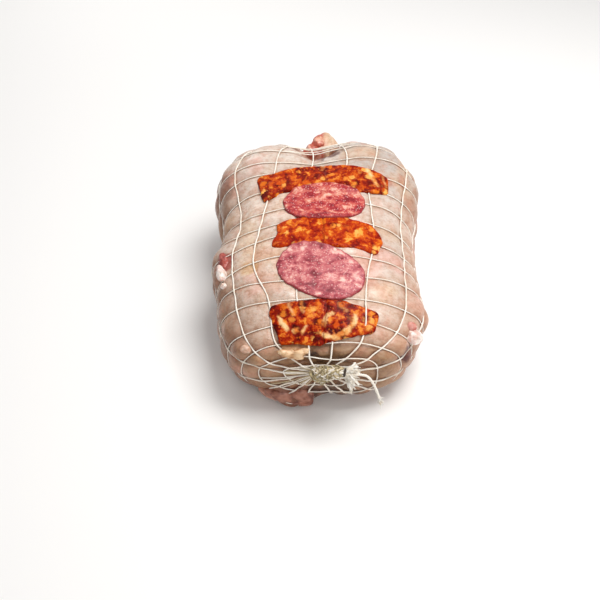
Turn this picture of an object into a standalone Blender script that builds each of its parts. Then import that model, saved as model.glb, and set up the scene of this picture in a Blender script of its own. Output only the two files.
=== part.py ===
"""Boned chicken rolled round its stuffing, held in an elastic butcher's net and dressed on top
with three strips of cured sausage and two oval slices of salami.

Frame: +Z up, the length along Y with the knotted neck end at -Y, origin under the middle of the base.
"""

import math

import bmesh
import bpy
import numpy as np
from mathutils import Vector
from mathutils.bvhtree import BVHTree

MM = 0.001

# The middle of the finished object's base, in the coordinates that the shapes below are laid out in.
BASE_CENTRE = (2.05 * MM, -4.15 * MM)

# The wrapped outline, which is the surface that the net lies in. Three values are front, middle and back.
BODY_LENGTH = 254 * MM
LEFT_HALF_WIDTH = (85 * MM, 78 * MM, 67 * MM)
RIGHT_HALF_WIDTH = (86 * MM, 82 * MM, 70 * MM)
CROWN_HEIGHT = (76 * MM, 102 * MM, 92 * MM)
WIDEST_HEIGHT = 42 * MM
NECK_POLE_HEIGHT = 50 * MM
TAIL_POLE_HEIGHT = 50 * MM
END_RADIUS = 85 * MM
END_BLUNTNESS = 3.6
TOP_SQUARENESS = 2.35
BELLY_SQUARENESS = 3.2
BELLY_FLATTENING = 6 * MM
NECK_LEAN = -0.15
TAIL_LEAN = 0.10
LEAN_CENTRE = 45 * MM

# Round swellings: (along Y, degrees round the ring from +X, height, spread along Y, spread in degrees).
LEFT_THIGH = (71 * MM, 156, 20 * MM, 42 * MM, 36)
LEFT_THIGH_TOP = (88 * MM, 130, 9 * MM, 34 * MM, 26)
RIGHT_THIGH = (62 * MM, 24, 18 * MM, 46 * MM, 34)
RIGHT_THIGH_TOP = (90 * MM, 46, 14 * MM, 40 * MM, 28)
LEFT_WING_STUB = (-24 * MM, 163, 10 * MM, 24 * MM, 15)
RIGHT_WING_STUB = (-78 * MM, 8, 5 * MM, 20 * MM, 14)
SWELLINGS = (LEFT_THIGH, LEFT_THIGH_TOP, RIGHT_THIGH, RIGHT_THIGH_TOP, LEFT_WING_STUB, RIGHT_WING_STUB)

# Lobes that stand out of the neck end, towards -Y: (x, z, spread in x, spread in z, reach).
SKIN_FLAP = (-23 * MM, 5 * MM, 21 * MM, 10 * MM, 19 * MM)
LOWER_BREAST = (32 * MM, 18 * MM, 34 * MM, 18 * MM, 5 * MM)
LOBES = (SKIN_FLAP, LOWER_BREAST)

# Hollows and creases in the flesh, which the net bridges: (one end, other end, radius, depth).
THIGH_CLEFT = ((5 * MM, 100 * MM, 100 * MM), (9 * MM, 128 * MM, 78 * MM), 15 * MM, 13 * MM)
NECK_DIMPLE = ((-4 * MM, -132 * MM, 52 * MM), (14 * MM, -132 * MM, 50 * MM), 26 * MM, 5 * MM)
NECK_PIT = ((-9 * MM, -128 * MM, 60 * MM), (2 * MM, -130 * MM, 50 * MM), 10 * MM, 7 * MM)
LEFT_THIGH_CREASE = ((-62 * MM, 58 * MM, 86 * MM), (-86 * MM, 6 * MM, 40 * MM), 6 * MM, 3.5 * MM)
RIGHT_THIGH_CREASE = ((52 * MM, 62 * MM, 92 * MM), (84 * MM, 16 * MM, 56 * MM), 6 * MM, 3.5 * MM)
FURROWS = (THIGH_CLEFT, NECK_DIMPLE, NECK_PIT, LEFT_THIGH_CREASE, RIGHT_THIGH_CREASE)

# The tail that pokes out through one stretched mesh of the net.
TAIL_BASE = (10 * MM, 96 * MM, 65 * MM)
TAIL_TIP = (12 * MM, 133 * MM, 94 * MM)
TAIL_HALF_WIDTH = 10.5 * MM
TAIL_HALF_HEIGHT = 7.5 * MM

# The net: strands along the chicken, and hoops round it.
STRANDS = 16
HOOPS = 20
FIRST_HOOP = 0.021
STRAND_HALF_WIDTH = 0.6 * MM
STRAND_HEIGHT = 1.0 * MM
STRAND_CLEARANCE = 0.4 * MM
PILLOW_HEIGHT = 1.5 * MM
TWIST_CELLS = 0.7
TWIST_FROM = 0.42
TWIST_OVER = 0.5
HOOP_WAVER = 0.10
STRAND_WAVER = 0.08
# The net wavers more at the neck end, and two strands are pulled aside: (hoop, strand, spread in hoops,
# spread in strands, how far in strands).
NECK_WAVER = 0.12
NECK_WAVER_ROW = 2
NECK_WAVER_SPREAD = 1.4
STRAND_PULLS = ((6.75, 14, 1.3, 0.55, -0.40), (8, 2, 2.2, 0.6, 0.28))
TAIL_MESH_AT = (0.846, 0.038)
TAIL_MESH_STRETCH = 11 * MM
TAIL_MESH_SPREAD = 20 * MM
GIRTH = 462 * MM

# The gathered end of the net, its tie and its loose end.
GATHER_GAP = 0.5 * MM
BUNCH_PATH = (
    (0, 0, 0), (-0.5, -3, 0), (0.5, -6, 2), (4, -7.5, 4.5), (10, -8, 6.5), (17, -8.5, 7), (21, -9, 6.5),
)
LOOSE_END_PATH = ((0, 0, 0), (9, -3, 2), (16, -4, 1), (21, -6, -6), (26, -8, -20))
BUNCH_RADIUS = 5.5 * MM
LOOSE_END_RADIUS = 0.8 * MM
FRAY_RADIUS = 0.9 * MM
FRAY_COUNT = 4

# The slices on top, by their outlines in plan (mm).
SLICE_GAP = 0.9 * MM
STRIP_THICKNESS = 2.2 * MM
SALAMI_THICKNESS = 1.8 * MM
OVERLAP_RAMP = 7 * MM
OUTLINE_POINTS = 20
BACK_STRIP = (
    (-48, 46), (-33, 50), (-18, 57), (4, 61), (26, 58), (45, 52), (61, 46), (63, 38), (61, 28),
    (54, 26), (37, 24), (19, 24), (-3, 25), (-24, 26), (-37, 22), (-43, 19), (-46, 31),
)
MIDDLE_STRIP = (
    (-31, -12), (-16, -8), (6, -6), (22, -7), (36, -10), (46, -13), (53, -25), (51, -35),
    (47, -42), (34, -41), (19, -40), (2, -39), (-16, -38), (-34, -37), (-35, -30), (-31, -22),
)
FRONT_STRIP = (
    (-36, -91), (-13, -88), (12, -87), (30, -91), (45, -95), (44, -103), (41, -110), (26, -114),
    (9, -118), (0, -120), (-14, -119), (-28, -118), (-31, -112), (-34, -105),
)
BACK_SALAMI = (
    (-27, 14), (-20, 26), (-6, 32), (8, 34), (24, 31), (37, 24), (42, 14), (38, 1), (24, -8),
    (5, -10), (-12, -8), (-23, 1),
)
FRONT_SALAMI = (
    (-32, -57), (-28, -44), (-18, -37), (-7, -35), (8, -38), (24, -46), (35, -57), (37, -68), (32, -80),
    (16, -88), (0, -86), (-15, -79), (-27, -69),
)

PROFILE_SAMPLES = 4001
RING_SAMPLES = 241


# The wrapped outline

def three_way(at, front, middle, back):
    """Smooth value at -1..1 through a front, a middle and a back value."""
    return middle + (back - front) / 2 * at + ((front + back) / 2 - middle) * at**2


def smooth_step(value):
    """0 below 0, 1 above 1, and eased between."""
    held = np.clip(value, 0, 1)
    return held * held * (3 - 2 * held)


def end_profile():
    """Places along Y, the ring's share of its full size there, and the share of the way over the surface."""
    turn = np.linspace(-math.pi / 2, math.pi / 2, PROFILE_SAMPLES)
    power = 2 / END_BLUNTNESS
    along = np.sign(np.sin(turn)) * np.abs(np.sin(turn)) ** power * BODY_LENGTH / 2
    share = np.abs(np.cos(turn)) ** power
    steps = np.hypot(np.diff(along), np.diff(share * END_RADIUS))
    way = np.concatenate([[0], np.cumsum(steps)])
    return along, share, way / way[-1], way[-1]


ALONG, SHARE, WAY, WAY_LENGTH = end_profile()


def ring_outline(y, share, angle):
    """Points of the rings at y, by angle from +X: a squared oval with swellings, flat where it rests."""
    at = y / (BODY_LENGTH / 2)
    across, up = np.cos(angle), np.sin(angle)
    power = np.where(up > 0, TOP_SQUARENESS, BELLY_SQUARENESS)
    reach = (np.abs(across) ** power + np.abs(up) ** power) ** (-1 / power)
    half_width = np.where(across < 0, three_way(at, *LEFT_HALF_WIDTH), three_way(at, *RIGHT_HALF_WIDTH))
    crown = three_way(at, *CROWN_HEIGHT) - WIDEST_HEIGHT
    half_height = np.where(up > 0, crown, WIDEST_HEIGHT + BELLY_FLATTENING)
    dx = share * half_width * reach * across
    dz = share * half_height * reach * up
    pole = np.where(y < 0, NECK_POLE_HEIGHT, TAIL_POLE_HEIGHT)
    centre = pole + (WIDEST_HEIGHT - pole) * share**0.8
    direction = np.degrees(np.arctan2(dz, dx))
    swelling = 0 * dx
    for where, facing, height, spread, spread_degrees in SWELLINGS:
        off = (direction - facing + 180) % 360 - 180
        swelling += height * np.exp(-(((y - where) / spread) ** 2) - (off / spread_degrees) ** 2)
    grown = 1 + swelling / np.maximum(np.hypot(dx, dz), 20 * MM) * np.clip(1.3 * share, 0, 1)
    x = dx * grown
    z = np.maximum(centre + dz * grown, PILLOW_HEIGHT)
    lean = NECK_LEAN * np.clip(-at, 0, 1) ** 2 + TAIL_LEAN * np.clip(at, 0, 1) ** 2
    out = 0 * x
    for lobe_x, lobe_z, spread_x, spread_z, reach_out in LOBES:
        out += reach_out * np.exp(-(((x - lobe_x) / spread_x) ** 2) - ((z - lobe_z) / spread_z) ** 2)
    forward = smooth_step((-at - 0.5) * 2.5)
    return np.stack([x, y + lean * (z - LEAN_CENTRE) - out * forward, z], axis=-1)


def wrap_points(way, turn):
    """Points of the wrapped outline, by the share of the way from neck to tail and the share of a turn.

    Turn 0 is the crown, and it grows towards +X. Both are shares of the length over the surface.
    """
    way, turn = np.broadcast_arrays(np.asarray(way, float), np.asarray(turn, float))
    y = np.interp(way.ravel(), WAY, ALONG)[:, None]
    share = np.interp(way.ravel(), WAY, SHARE)[:, None]
    angle = math.pi / 2 - np.linspace(0, 2 * math.pi, RING_SAMPLES)[None]
    rings = ring_outline(y, share, angle)
    steps = np.linalg.norm(np.diff(rings, axis=1), axis=2)
    points = np.empty((len(rings), 3))
    for row, (ring, step, where) in enumerate(zip(rings, steps, turn.ravel() % 1)):
        travelled = np.concatenate([[0], np.cumsum(step)])
        points[row] = [np.interp(where * travelled[-1], travelled, ring[:, axis]) for axis in range(3)]
    return points.reshape(way.shape + (3,))


def net_place(row, column):
    """(way, turn) of a place on the net, counted in hoops and strands, with its wavering and pulls."""
    row, column = np.broadcast_arrays(np.asarray(row, float), np.asarray(column, float))
    pitch = (1 - 2 * FIRST_HOOP) / (HOOPS - 1)
    round_turn = 2 * math.pi * (column + 0.5) / STRANDS
    inner = np.clip(np.minimum(row, HOOPS - 1 - row) / 3, 0, 1)
    waver = HOOP_WAVER * (np.sin(2 * round_turn + 1.9 * row) + np.sin(3 * round_turn - 1.3 * row)) * inner
    sideways = STRAND_WAVER * (np.sin(0.7 * row + 2.1 * column) + np.sin(1.1 * row - 1.7 * column)) * inner
    at_neck = np.exp(-((row - NECK_WAVER_ROW) / NECK_WAVER_SPREAD) ** 2)
    waver = waver + NECK_WAVER * at_neck * np.sin(5 * round_turn + 1.7 * row)
    sideways = sideways + NECK_WAVER * at_neck * np.sin(3.1 * column + 1.3 * row)
    way = FIRST_HOOP + pitch * (row + waver)
    for at_row, at_column, rows_spread, columns_spread, pull in STRAND_PULLS:
        off = (column - at_column + STRANDS / 2) % STRANDS - STRANDS / 2
        fall = ((row - at_row) / rows_spread) ** 2 + (off / columns_spread) ** 2
        sideways = sideways + pull * np.exp(-fall)
    turn = (column + 0.5 + sideways) / STRANDS
    turn = turn + TWIST_CELLS / STRANDS * smooth_step((way - TWIST_FROM) / TWIST_OVER)
    off_way = (way - TAIL_MESH_AT[0]) * WAY_LENGTH
    off_turn = ((turn - TAIL_MESH_AT[1] + 0.5) % 1 - 0.5) * GIRTH
    away = np.hypot(off_way, off_turn) + 1e-6
    push = TAIL_MESH_STRETCH * np.exp(-((away / TAIL_MESH_SPREAD) ** 2)) * np.clip(away / (4 * MM), 0, 1)
    return way + push * off_way / away / WAY_LENGTH, turn + push * off_turn / away / GIRTH


def wrap_frame(row, column):
    """Points, outward normals, and directions along the strand and round the hoop, at places on the net."""
    way, turn = net_place(row, column)
    small = 0.004
    points = wrap_points(way, turn)
    lengthwise = wrap_points(np.clip(way + small, 0, 1), turn) - wrap_points(np.clip(way - small, 0, 1), turn)
    round_way = wrap_points(way, turn + small) - wrap_points(way, turn - small)
    lengthwise /= np.linalg.norm(lengthwise, axis=-1, keepdims=True)
    round_way /= np.linalg.norm(round_way, axis=-1, keepdims=True)
    normals = np.cross(round_way, lengthwise)
    normals /= np.linalg.norm(normals, axis=-1, keepdims=True)
    return points, normals, lengthwise, np.cross(lengthwise, normals)


def furrow_depth(points):
    """How far each point sinks below the wrapped outline, in the hollows and creases."""
    depth = np.zeros(points.shape[:-1])
    for start, end, radius, full_depth in FURROWS:
        start, line = np.array(start), np.array(end) - np.array(start)
        share = np.clip((points - start) @ line / (line @ line), 0, 1)
        gap = np.linalg.norm(points - start - share[..., None] * line, axis=-1)
        depth = np.maximum(depth, full_depth * np.exp(-((gap / radius) ** 2)))
    return depth


# Blender helpers

def clear_scene():
    for thing in list(bpy.data.objects):
        bpy.data.objects.remove(thing, do_unlink=True)


def new_collection(name):
    collection = bpy.data.collections.new(name)
    bpy.context.scene.collection.children.link(collection)
    return collection


def new_material(name, colour, roughness):
    material = bpy.data.materials.new(name)
    material.use_nodes = True
    shader = material.node_tree.nodes["Principled BSDF"]
    shader.inputs["Base Color"].default_value = (*colour, 1)
    shader.inputs["Roughness"].default_value = roughness
    shader.inputs["Metallic"].default_value = 0
    return material


def add_mesh_object(name, points, faces, collection, material):
    """Object from points and faces, with its normals facing out and shaded smooth."""
    mesh = bpy.data.meshes.new(name)
    mesh.from_pydata([tuple(map(float, point)) for point in points], [], faces)
    work = bmesh.new()
    work.from_mesh(mesh)
    bmesh.ops.recalc_face_normals(work, faces=work.faces)
    work.to_mesh(mesh)
    work.free()
    mesh.shade_smooth()
    thing = bpy.data.objects.new(name, mesh)
    thing.data.materials.append(material)
    collection.objects.link(thing)
    return thing


def add_cord_mesh(name, points, radii, collection, material, resolution=0):
    """Round cord through the points, as a closed mesh, with a radius at each point."""
    curve = bpy.data.curves.new(name, "CURVE")
    curve.dimensions = "3D"
    curve.bevel_depth = 1.0
    curve.bevel_resolution = resolution
    curve.use_fill_caps = True
    spline = curve.splines.new("POLY")
    spline.points.add(len(points) - 1)
    for place, point, radius in zip(spline.points, points, radii):
        place.co = (*point, 1)
        place.radius = radius
    source = bpy.data.objects.new(name + "_curve", curve)
    collection.objects.link(source)
    bpy.context.view_layer.update()
    evaluated = source.evaluated_get(bpy.context.evaluated_depsgraph_get())
    mesh = bpy.data.meshes.new_from_object(evaluated)
    work = bmesh.new()
    work.from_mesh(mesh)
    bmesh.ops.remove_doubles(work, verts=work.verts, dist=0.01 * MM)
    bmesh.ops.recalc_face_normals(work, faces=work.faces)
    work.to_mesh(mesh)
    work.free()
    bpy.data.objects.remove(source)
    thing = bpy.data.objects.new(name, mesh)
    thing.data.materials.append(material)
    collection.objects.link(thing)
    return thing


def join_all(thing, collection, solver):
    """Fuses the collection's closed meshes into the object, and removes them."""
    union = thing.modifiers.new("Join", "BOOLEAN")
    union.operation = "UNION"
    union.operand_type = "COLLECTION"
    union.collection = collection
    union.solver = solver
    bpy.context.view_layer.update()
    evaluated = thing.evaluated_get(bpy.context.evaluated_depsgraph_get())
    joined = bpy.data.meshes.new_from_object(evaluated)
    thing.modifiers.remove(union)
    thing.data = joined
    for used in list(collection.objects):
        bpy.data.objects.remove(used, do_unlink=True)
    bpy.data.collections.remove(collection)


def curved_path(points, count):
    """Evenly counted points on a smooth curve through the given ones (Catmull-Rom)."""
    points = np.array(points, float)
    held = np.vstack([2 * points[0] - points[1], points, 2 * points[-1] - points[-2]])
    path = []
    for place in np.linspace(0, len(points) - 1, count):
        start = min(int(place), len(points) - 2)
        share = place - start
        a, b, c, d = held[start : start + 4]
        path.append(
            0.5 * (2 * b + (c - a) * share + (2 * a - 5 * b + 4 * c - d) * share**2
                   + (3 * b - a - 3 * c + d) * share**3)
        )
    return np.array(path)


# The chicken

def grid_faces(rows, columns):
    """Quads of a grid of points that closes round its rows."""
    return [
        (row * columns + column, row * columns + (column + 1) % columns,
         (row + 1) * columns + (column + 1) % columns, (row + 1) * columns + column)
        for row in range(rows - 1)
        for column in range(columns)
    ]


def build_chicken(collection, material):
    """Skin with a pillow in each mesh of the net, its hollows, and the tail fused on.

    Under the net the skin follows the straight stretches between the net's crossings, so that it stays clear.
    """
    rows, columns = 2 * (HOOPS - 1) + 1, 4 * STRANDS
    row = np.arange(rows)[:, None] / 2
    column = np.arange(columns)[None] / 4
    points, normals, _, _ = wrap_frame(row, column)
    points[1::2, ::4] = (points[:-1:2, ::4] + points[2::2, ::4]) / 2
    points[::2, 1::2] = (points[::2, ::2] + np.roll(points, -2, axis=1)[::2, ::2]) / 2
    roomy = np.clip(np.minimum(row, HOOPS - 1 - row) / 3, 0, 1)
    pillow = np.sin(math.pi * row) ** 2 * np.sin(math.pi * column) ** 2 * roomy * PILLOW_HEIGHT
    points = points + normals * (pillow - furrow_depth(points))[..., None]
    points[..., 2] = np.maximum(points[..., 2], 0)
    poles = [wrap_points(way, 0.0) for way in (0.0, 1.0)]
    sunk = [float(furrow_depth(pole)) for pole in poles]
    poles[0] = poles[0] + np.array([0, sunk[0], 0])
    everything = np.vstack([points.reshape(-1, 3), poles])
    faces = grid_faces(rows, columns)
    neck_pole, tail_pole = rows * columns, rows * columns + 1
    last = (rows - 1) * columns
    for column in range(columns):
        after = (column + 1) % columns
        faces.append((neck_pole, after, column))
        faces.append((tail_pole, last + column, last + after))
    chicken = add_mesh_object("chicken", everything, faces, collection, material)
    tail = new_collection("tail_parts")
    build_tail(tail, material)
    join_all(chicken, tail, "EXACT")
    return chicken


def build_tail(collection, material):
    """The stub of the tail: a blunt lobe with a smaller one at its tip."""
    base, tip = Vector(TAIL_BASE), Vector(TAIL_TIP)
    work = bmesh.new()
    bmesh.ops.create_uvsphere(work, u_segments=12, v_segments=8, radius=1)
    length = (tip - base).length / 2
    for vertex in work.verts:
        swell = 1 + 0.12 * math.sin(5 * vertex.co.x + 2 * vertex.co.z)
        narrow = 1 - 0.28 * max(vertex.co.y, 0)
        vertex.co.x *= TAIL_HALF_WIDTH * swell * narrow
        vertex.co.z *= TAIL_HALF_HEIGHT * swell
        vertex.co.y *= length
    mesh = bpy.data.meshes.new("tail")
    work.to_mesh(mesh)
    work.free()
    tail = bpy.data.objects.new("tail", mesh)
    tail.location = (base + tip) / 2
    ahead = tip - base
    tail.rotation_euler = (math.atan2(ahead.z, ahead.y), 0, -math.atan2(ahead.x, ahead.y))
    tail.data.materials.append(material)
    collection.objects.link(tail)


# The net

def build_net_lattice(collection, material):
    """Hoops and strands as one closed lattice with a roof-shaped section, its crossings square underneath."""
    rows = np.arange(HOOPS)[:, None]
    columns = np.arange(STRANDS)[None]
    crossing, crossing_out, lengthwise, round_way = wrap_frame(rows, columns)
    middle, middle_out, middle_along, _ = wrap_frame(rows, columns + 0.5)
    crossing = crossing + crossing_out * STRAND_CLEARANCE
    middle = middle + middle_out * STRAND_CLEARANCE
    points = []
    faces = []

    def keep(point):
        points.append(point)
        return len(points) - 1

    corners, ridges, sides, middle_ridges = {}, {}, {}, {}
    for row in range(HOOPS):
        for column in range(STRANDS):
            at = crossing[row, column]
            ahead = lengthwise[row, column] * STRAND_HALF_WIDTH
            right = round_way[row, column] * STRAND_HALF_WIDTH
            for lengthways in (-1, 1):
                for sideways in (-1, 1):
                    corner = at + lengthways * ahead + sideways * right
                    corners[row, column, lengthways, sideways] = keep(corner)
            ridges[row, column] = keep(at + crossing_out[row, column] * STRAND_HEIGHT)
            half = middle[row, column]
            edge = middle_along[row, column] * STRAND_HALF_WIDTH
            for lengthways in (-1, 1):
                sides[row, column, lengthways] = keep(half + lengthways * edge)
            middle_ridges[row, column] = keep(half + middle_out[row, column] * STRAND_HEIGHT)
    for row in range(HOOPS):
        for column in range(STRANDS):
            after = (column + 1) % STRANDS
            faces.append([corners[row, column, -1, -1], corners[row, column, -1, 1],
                          corners[row, column, 1, 1], corners[row, column, 1, -1]])
            add_arm(
                faces,
                (corners[row, column, -1, 1], corners[row, column, 1, 1], ridges[row, column]),
                (sides[row, column, -1], sides[row, column, 1], middle_ridges[row, column]),
            )
            add_arm(
                faces,
                (sides[row, column, -1], sides[row, column, 1], middle_ridges[row, column]),
                (corners[row, after, -1, -1], corners[row, after, 1, -1], ridges[row, after]),
            )
            if row < HOOPS - 1:
                far = row + 1
                add_arm(
                    faces,
                    (corners[row, column, 1, -1], corners[row, column, 1, 1], ridges[row, column]),
                    (corners[far, column, -1, -1], corners[far, column, -1, 1], ridges[far, column]),
                )
    for column in range(STRANDS):
        faces.append([corners[0, column, -1, -1], corners[0, column, -1, 1], ridges[0, column]])
        last = HOOPS - 1
        faces.append([corners[last, column, 1, -1], corners[last, column, 1, 1], ridges[last, column]])
    return add_mesh_object("net", points, faces, collection, material)


def add_arm(faces, near, far):
    """Adds the three sides of one stretch of strand between two sections of (left, right, ridge)."""
    for a, b in ((0, 1), (1, 2), (2, 0)):
        faces.append([near[a], near[b], far[b], far[a]])


def build_gathers(collection, material):
    """The bunched and tied neck end of the net, its frayed ends and loose end, and the tail-end knot."""
    neck = wrap_points(0.0, 0.0) - np.array([0, GATHER_GAP, 0])
    bunch = neck + curved_path(BUNCH_PATH, 9) * MM
    swell = BUNCH_RADIUS * np.array([1.5, 1.1, 0.95, 0.85, 0.8, 0.75, 0.6, 0.9, 0.8])
    add_cord_mesh("bunch", bunch, swell, collection, material, resolution=1)
    tie = bunch[-2]
    for number in range(FRAY_COUNT):
        spin = 2 * math.pi * number / FRAY_COUNT
        aim = np.array([0.8, -0.3 + 0.35 * math.cos(spin), 0.7 * math.sin(spin) - 0.1])
        reach = (9 + 3 * math.sin(2.3 * number)) * MM
        fray = curved_path([tie, tie + aim * reach * 0.6, tie + aim * reach + np.array([0, 0, -2 * MM])], 4)
        radii = FRAY_RADIUS * np.array([1.5, 1, 1, 0.6])
        add_cord_mesh(f"fray_{number}", fray, radii, collection, material)
    loose = tie + curved_path(LOOSE_END_PATH, 8) * MM
    radii = LOOSE_END_RADIUS * np.array([1, 1, 1, 1, 1, 1, 2, 1.6])
    add_cord_mesh("loose_end", loose, radii, collection, material)
    tail_end = wrap_points(1.0, 0.0) + np.array([0, GATHER_GAP, 0])
    knot = tail_end + np.array([(0, 0, 0), (0, 4, 0), (0, 9, -2)]) * MM
    add_cord_mesh("tail_knot", knot, [BUNCH_RADIUS * 1.5, BUNCH_RADIUS * 0.8, BUNCH_RADIUS * 0.5],
                  collection, material, resolution=1)


def build_net(collection, material):
    net = build_net_lattice(collection, material)
    gathers = new_collection("gather_parts")
    build_gathers(gathers, material)
    join_all(net, gathers, "MANIFOLD")
    return net


# The slices on top

def crown_tree():
    """The crown of the chicken with every pillow full, to lay the slices on."""
    rows = np.linspace(2, HOOPS - 3, 4 * HOOPS)[:, None]
    columns = np.linspace(-5, 5, 61)[None]
    points, normals, _, _ = wrap_frame(rows, columns)
    points = points + normals * PILLOW_HEIGHT
    shape = points.shape[:2]
    faces = [
        (row * shape[1] + column, row * shape[1] + column + 1,
         (row + 1) * shape[1] + column + 1, (row + 1) * shape[1] + column)
        for row in range(shape[0] - 1)
        for column in range(shape[1] - 1)
    ]
    return BVHTree.FromPolygons([Vector(point) for point in points.reshape(-1, 3)], faces)


def smooth_outline(corners):
    """Evenly counted points (m) on a closed smooth curve through an outline's corners (mm)."""
    held = np.array(corners[-1:] + corners + corners[:2], float) * MM
    outline = []
    for place in np.arange(OUTLINE_POINTS) * len(corners) / OUTLINE_POINTS:
        start = int(place)
        share = place - start
        a, b, c, d = held[start : start + 4]
        outline.append(
            0.5 * (2 * b + (c - a) * share + (2 * a - 5 * b + 4 * c - d) * share**2
                   + (3 * b - a - 3 * c + d) * share**3)
        )
    return np.array(outline)


def depth_inside(outline, point):
    """How far a place in plan is inside an outline, negative outside."""
    ahead = np.roll(outline, -1, axis=0)
    side = ahead - outline
    share = np.clip(((point - outline) * side).sum(axis=1) / (side * side).sum(axis=1), 0, 1)
    nearest = np.linalg.norm(outline + share[:, None] * side - point, axis=1).min()
    crosses = (outline[:, 1] > point[1]) != (ahead[:, 1] > point[1])
    reach = outline[:, 0] + (point[1] - outline[:, 1]) * side[:, 0] / np.where(side[:, 1] == 0, 1, side[:, 1])
    inside = np.count_nonzero(crosses & (point[0] < reach)) % 2 == 1
    return nearest if inside else -nearest


def add_slice(name, corners, under, thickness, tree, collection, material):
    """Thin slice laid on the crown, lifted where it lies over the edges of the slices under it."""
    outline = smooth_outline(corners)
    middle = outline.mean(axis=0)
    count = len(outline)
    rings = [middle + (outline - middle) * inset for inset in (1, 0.8, 0.55, 0.28)]
    plan = np.vstack(rings + [middle[None]])
    lower = [smooth_outline(corners_below) for corners_below in under]
    points = []
    for level in (0, thickness):
        for place in plan:
            hit, normal, _, _ = tree.ray_cast(Vector((*place, 1)), Vector((0, 0, -1)))
            if normal.z < 0:
                normal = -normal
            covered = max([depth_inside(outline_below, place) for outline_below in lower], default=-1)
            lift = (STRIP_THICKNESS + SLICE_GAP) * float(smooth_step((covered + 3 * MM) / OVERLAP_RAMP + 1))
            points.append(hit + normal * (SLICE_GAP + lift + level))
    faces = []
    top = len(plan)
    for ring in range(len(rings) - 1):
        for place in range(count):
            after = (place + 1) % count
            near, far = ring * count, (ring + 1) * count
            faces.append((near + place, near + after, far + after, far + place))
            faces.append((top + near + place, top + far + place, top + far + after, top + near + after))
    inner = (len(rings) - 1) * count
    for place in range(count):
        after = (place + 1) % count
        faces.append((inner + place, inner + after, top - 1))
        faces.append((top + inner + after, top + inner + place, 2 * top - 1))
        faces.append((place, top + place, top + after, after))
    return add_mesh_object(name, points, faces, collection, material)


def centre_on_base(part):
    """Moves a part's mesh so that the whole object's base centre is the origin."""
    moved = np.array([vertex.co for vertex in part.data.vertices]) - np.array([*BASE_CENTRE, 0])
    part.data.vertices.foreach_set("co", moved.ravel())
    part.data.update()


def main():
    clear_scene()
    parts = new_collection("stuffed_chicken")
    skin = new_material("raw_skin", (0.72, 0.55, 0.46), 0.45)
    cord = new_material("net_cord", (0.86, 0.78, 0.66), 0.85)
    chorizo = new_material("cured_sausage", (0.66, 0.13, 0.03), 0.4)
    salami = new_material("salami", (0.60, 0.20, 0.22), 0.45)
    build_chicken(parts, skin)
    build_net(parts, cord)
    tree = crown_tree()
    for name, outline in (("back", BACK_STRIP), ("middle", MIDDLE_STRIP), ("front", FRONT_STRIP)):
        add_slice("strip_" + name, outline, (), STRIP_THICKNESS, tree, parts, chorizo)
    under_back, under_front = (BACK_STRIP, MIDDLE_STRIP), (MIDDLE_STRIP, FRONT_STRIP)
    add_slice("salami_back", BACK_SALAMI, under_back, SALAMI_THICKNESS, tree, parts, salami)
    add_slice("salami_front", FRONT_SALAMI, under_front, SALAMI_THICKNESS, tree, parts, salami)

    for part in parts.objects:
        centre_on_base(part)


main()
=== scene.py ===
"""Raw stuffed chicken in an elastic butcher's net, dressed with cured sausage and salami.

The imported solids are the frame. Each class below makes one sub-assembly over them: the skin, the net with its
gathered end, the sausage strips, the salami slices, the bits of wing and fat, and the studio.
Lengths are in metres. Shapes are laid out in the solids' own layout, whose base centre is BASE_CENTRE.
"""
import logging
import math
from collections.abc import Callable, Sequence
from dataclasses import dataclass, field
from enum import Enum

import bmesh
import bpy
import numpy as np
from mathutils import Matrix, Vector
from mathutils.bvhtree import BVHTree


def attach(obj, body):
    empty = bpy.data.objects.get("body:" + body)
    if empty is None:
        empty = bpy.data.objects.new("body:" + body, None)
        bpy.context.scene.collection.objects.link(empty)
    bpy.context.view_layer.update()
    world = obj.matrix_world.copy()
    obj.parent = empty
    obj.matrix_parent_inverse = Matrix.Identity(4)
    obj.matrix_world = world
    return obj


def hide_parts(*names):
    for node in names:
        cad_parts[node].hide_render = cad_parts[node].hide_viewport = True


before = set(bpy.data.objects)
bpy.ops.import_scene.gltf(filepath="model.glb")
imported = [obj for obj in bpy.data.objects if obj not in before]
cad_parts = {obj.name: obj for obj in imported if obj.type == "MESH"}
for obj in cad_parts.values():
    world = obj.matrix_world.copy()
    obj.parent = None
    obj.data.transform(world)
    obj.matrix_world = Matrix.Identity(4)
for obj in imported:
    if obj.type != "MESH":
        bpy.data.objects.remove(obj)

LOG = logging.getLogger("stuffed_chicken")
MM = 0.001
BODY = "root"
BASE_CENTRE = np.array([2.05 * MM, -4.15 * MM, 0.0])

# How far a yarn's two plies stand out, as a share of its radius.
PLY_DEPTH = 0.13
# The lowest that skin and meat reach above the floor.
FLOOR_GAP = 0.2 * MM
UP = np.array([0, 0, 1.0])

Array = np.ndarray
Place = tuple[float, float, float]
Corners = tuple[tuple[float, float], ...]
Faces = list[tuple[int, ...]]
Tube = tuple[Array, Faces, Array]


# ---- Small tools


def srgb(code: str) -> tuple[float, float, float, float]:
    """Linear colour of a hex code such as "E6CDBE"."""
    values = [int(code[place : place + 2], 16) / 255 for place in (0, 2, 4)]
    linear = [value / 12.92 if value <= 0.04045 else ((value + 0.055) / 1.055) ** 2.4 for value in values]
    return (*linear, 1.0)


def rgb(code: str) -> Array:
    """Linear colour of a hex code as an array of three."""
    return np.array(srgb(code)[:3])


def smooth_step(value: Array, low: float = 0.0, high: float = 1.0) -> Array:
    """Eases from 0 at low to 1 at high."""
    held = np.clip((np.asarray(value, float) - low) / (high - low), 0, 1)
    return held * held * (3 - 2 * held)


def mix(first: Array, second: Array, share: Array) -> Array:
    """Blends colours by a share for each point."""
    return first + (second - first) * np.asarray(share)[..., None]


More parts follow.
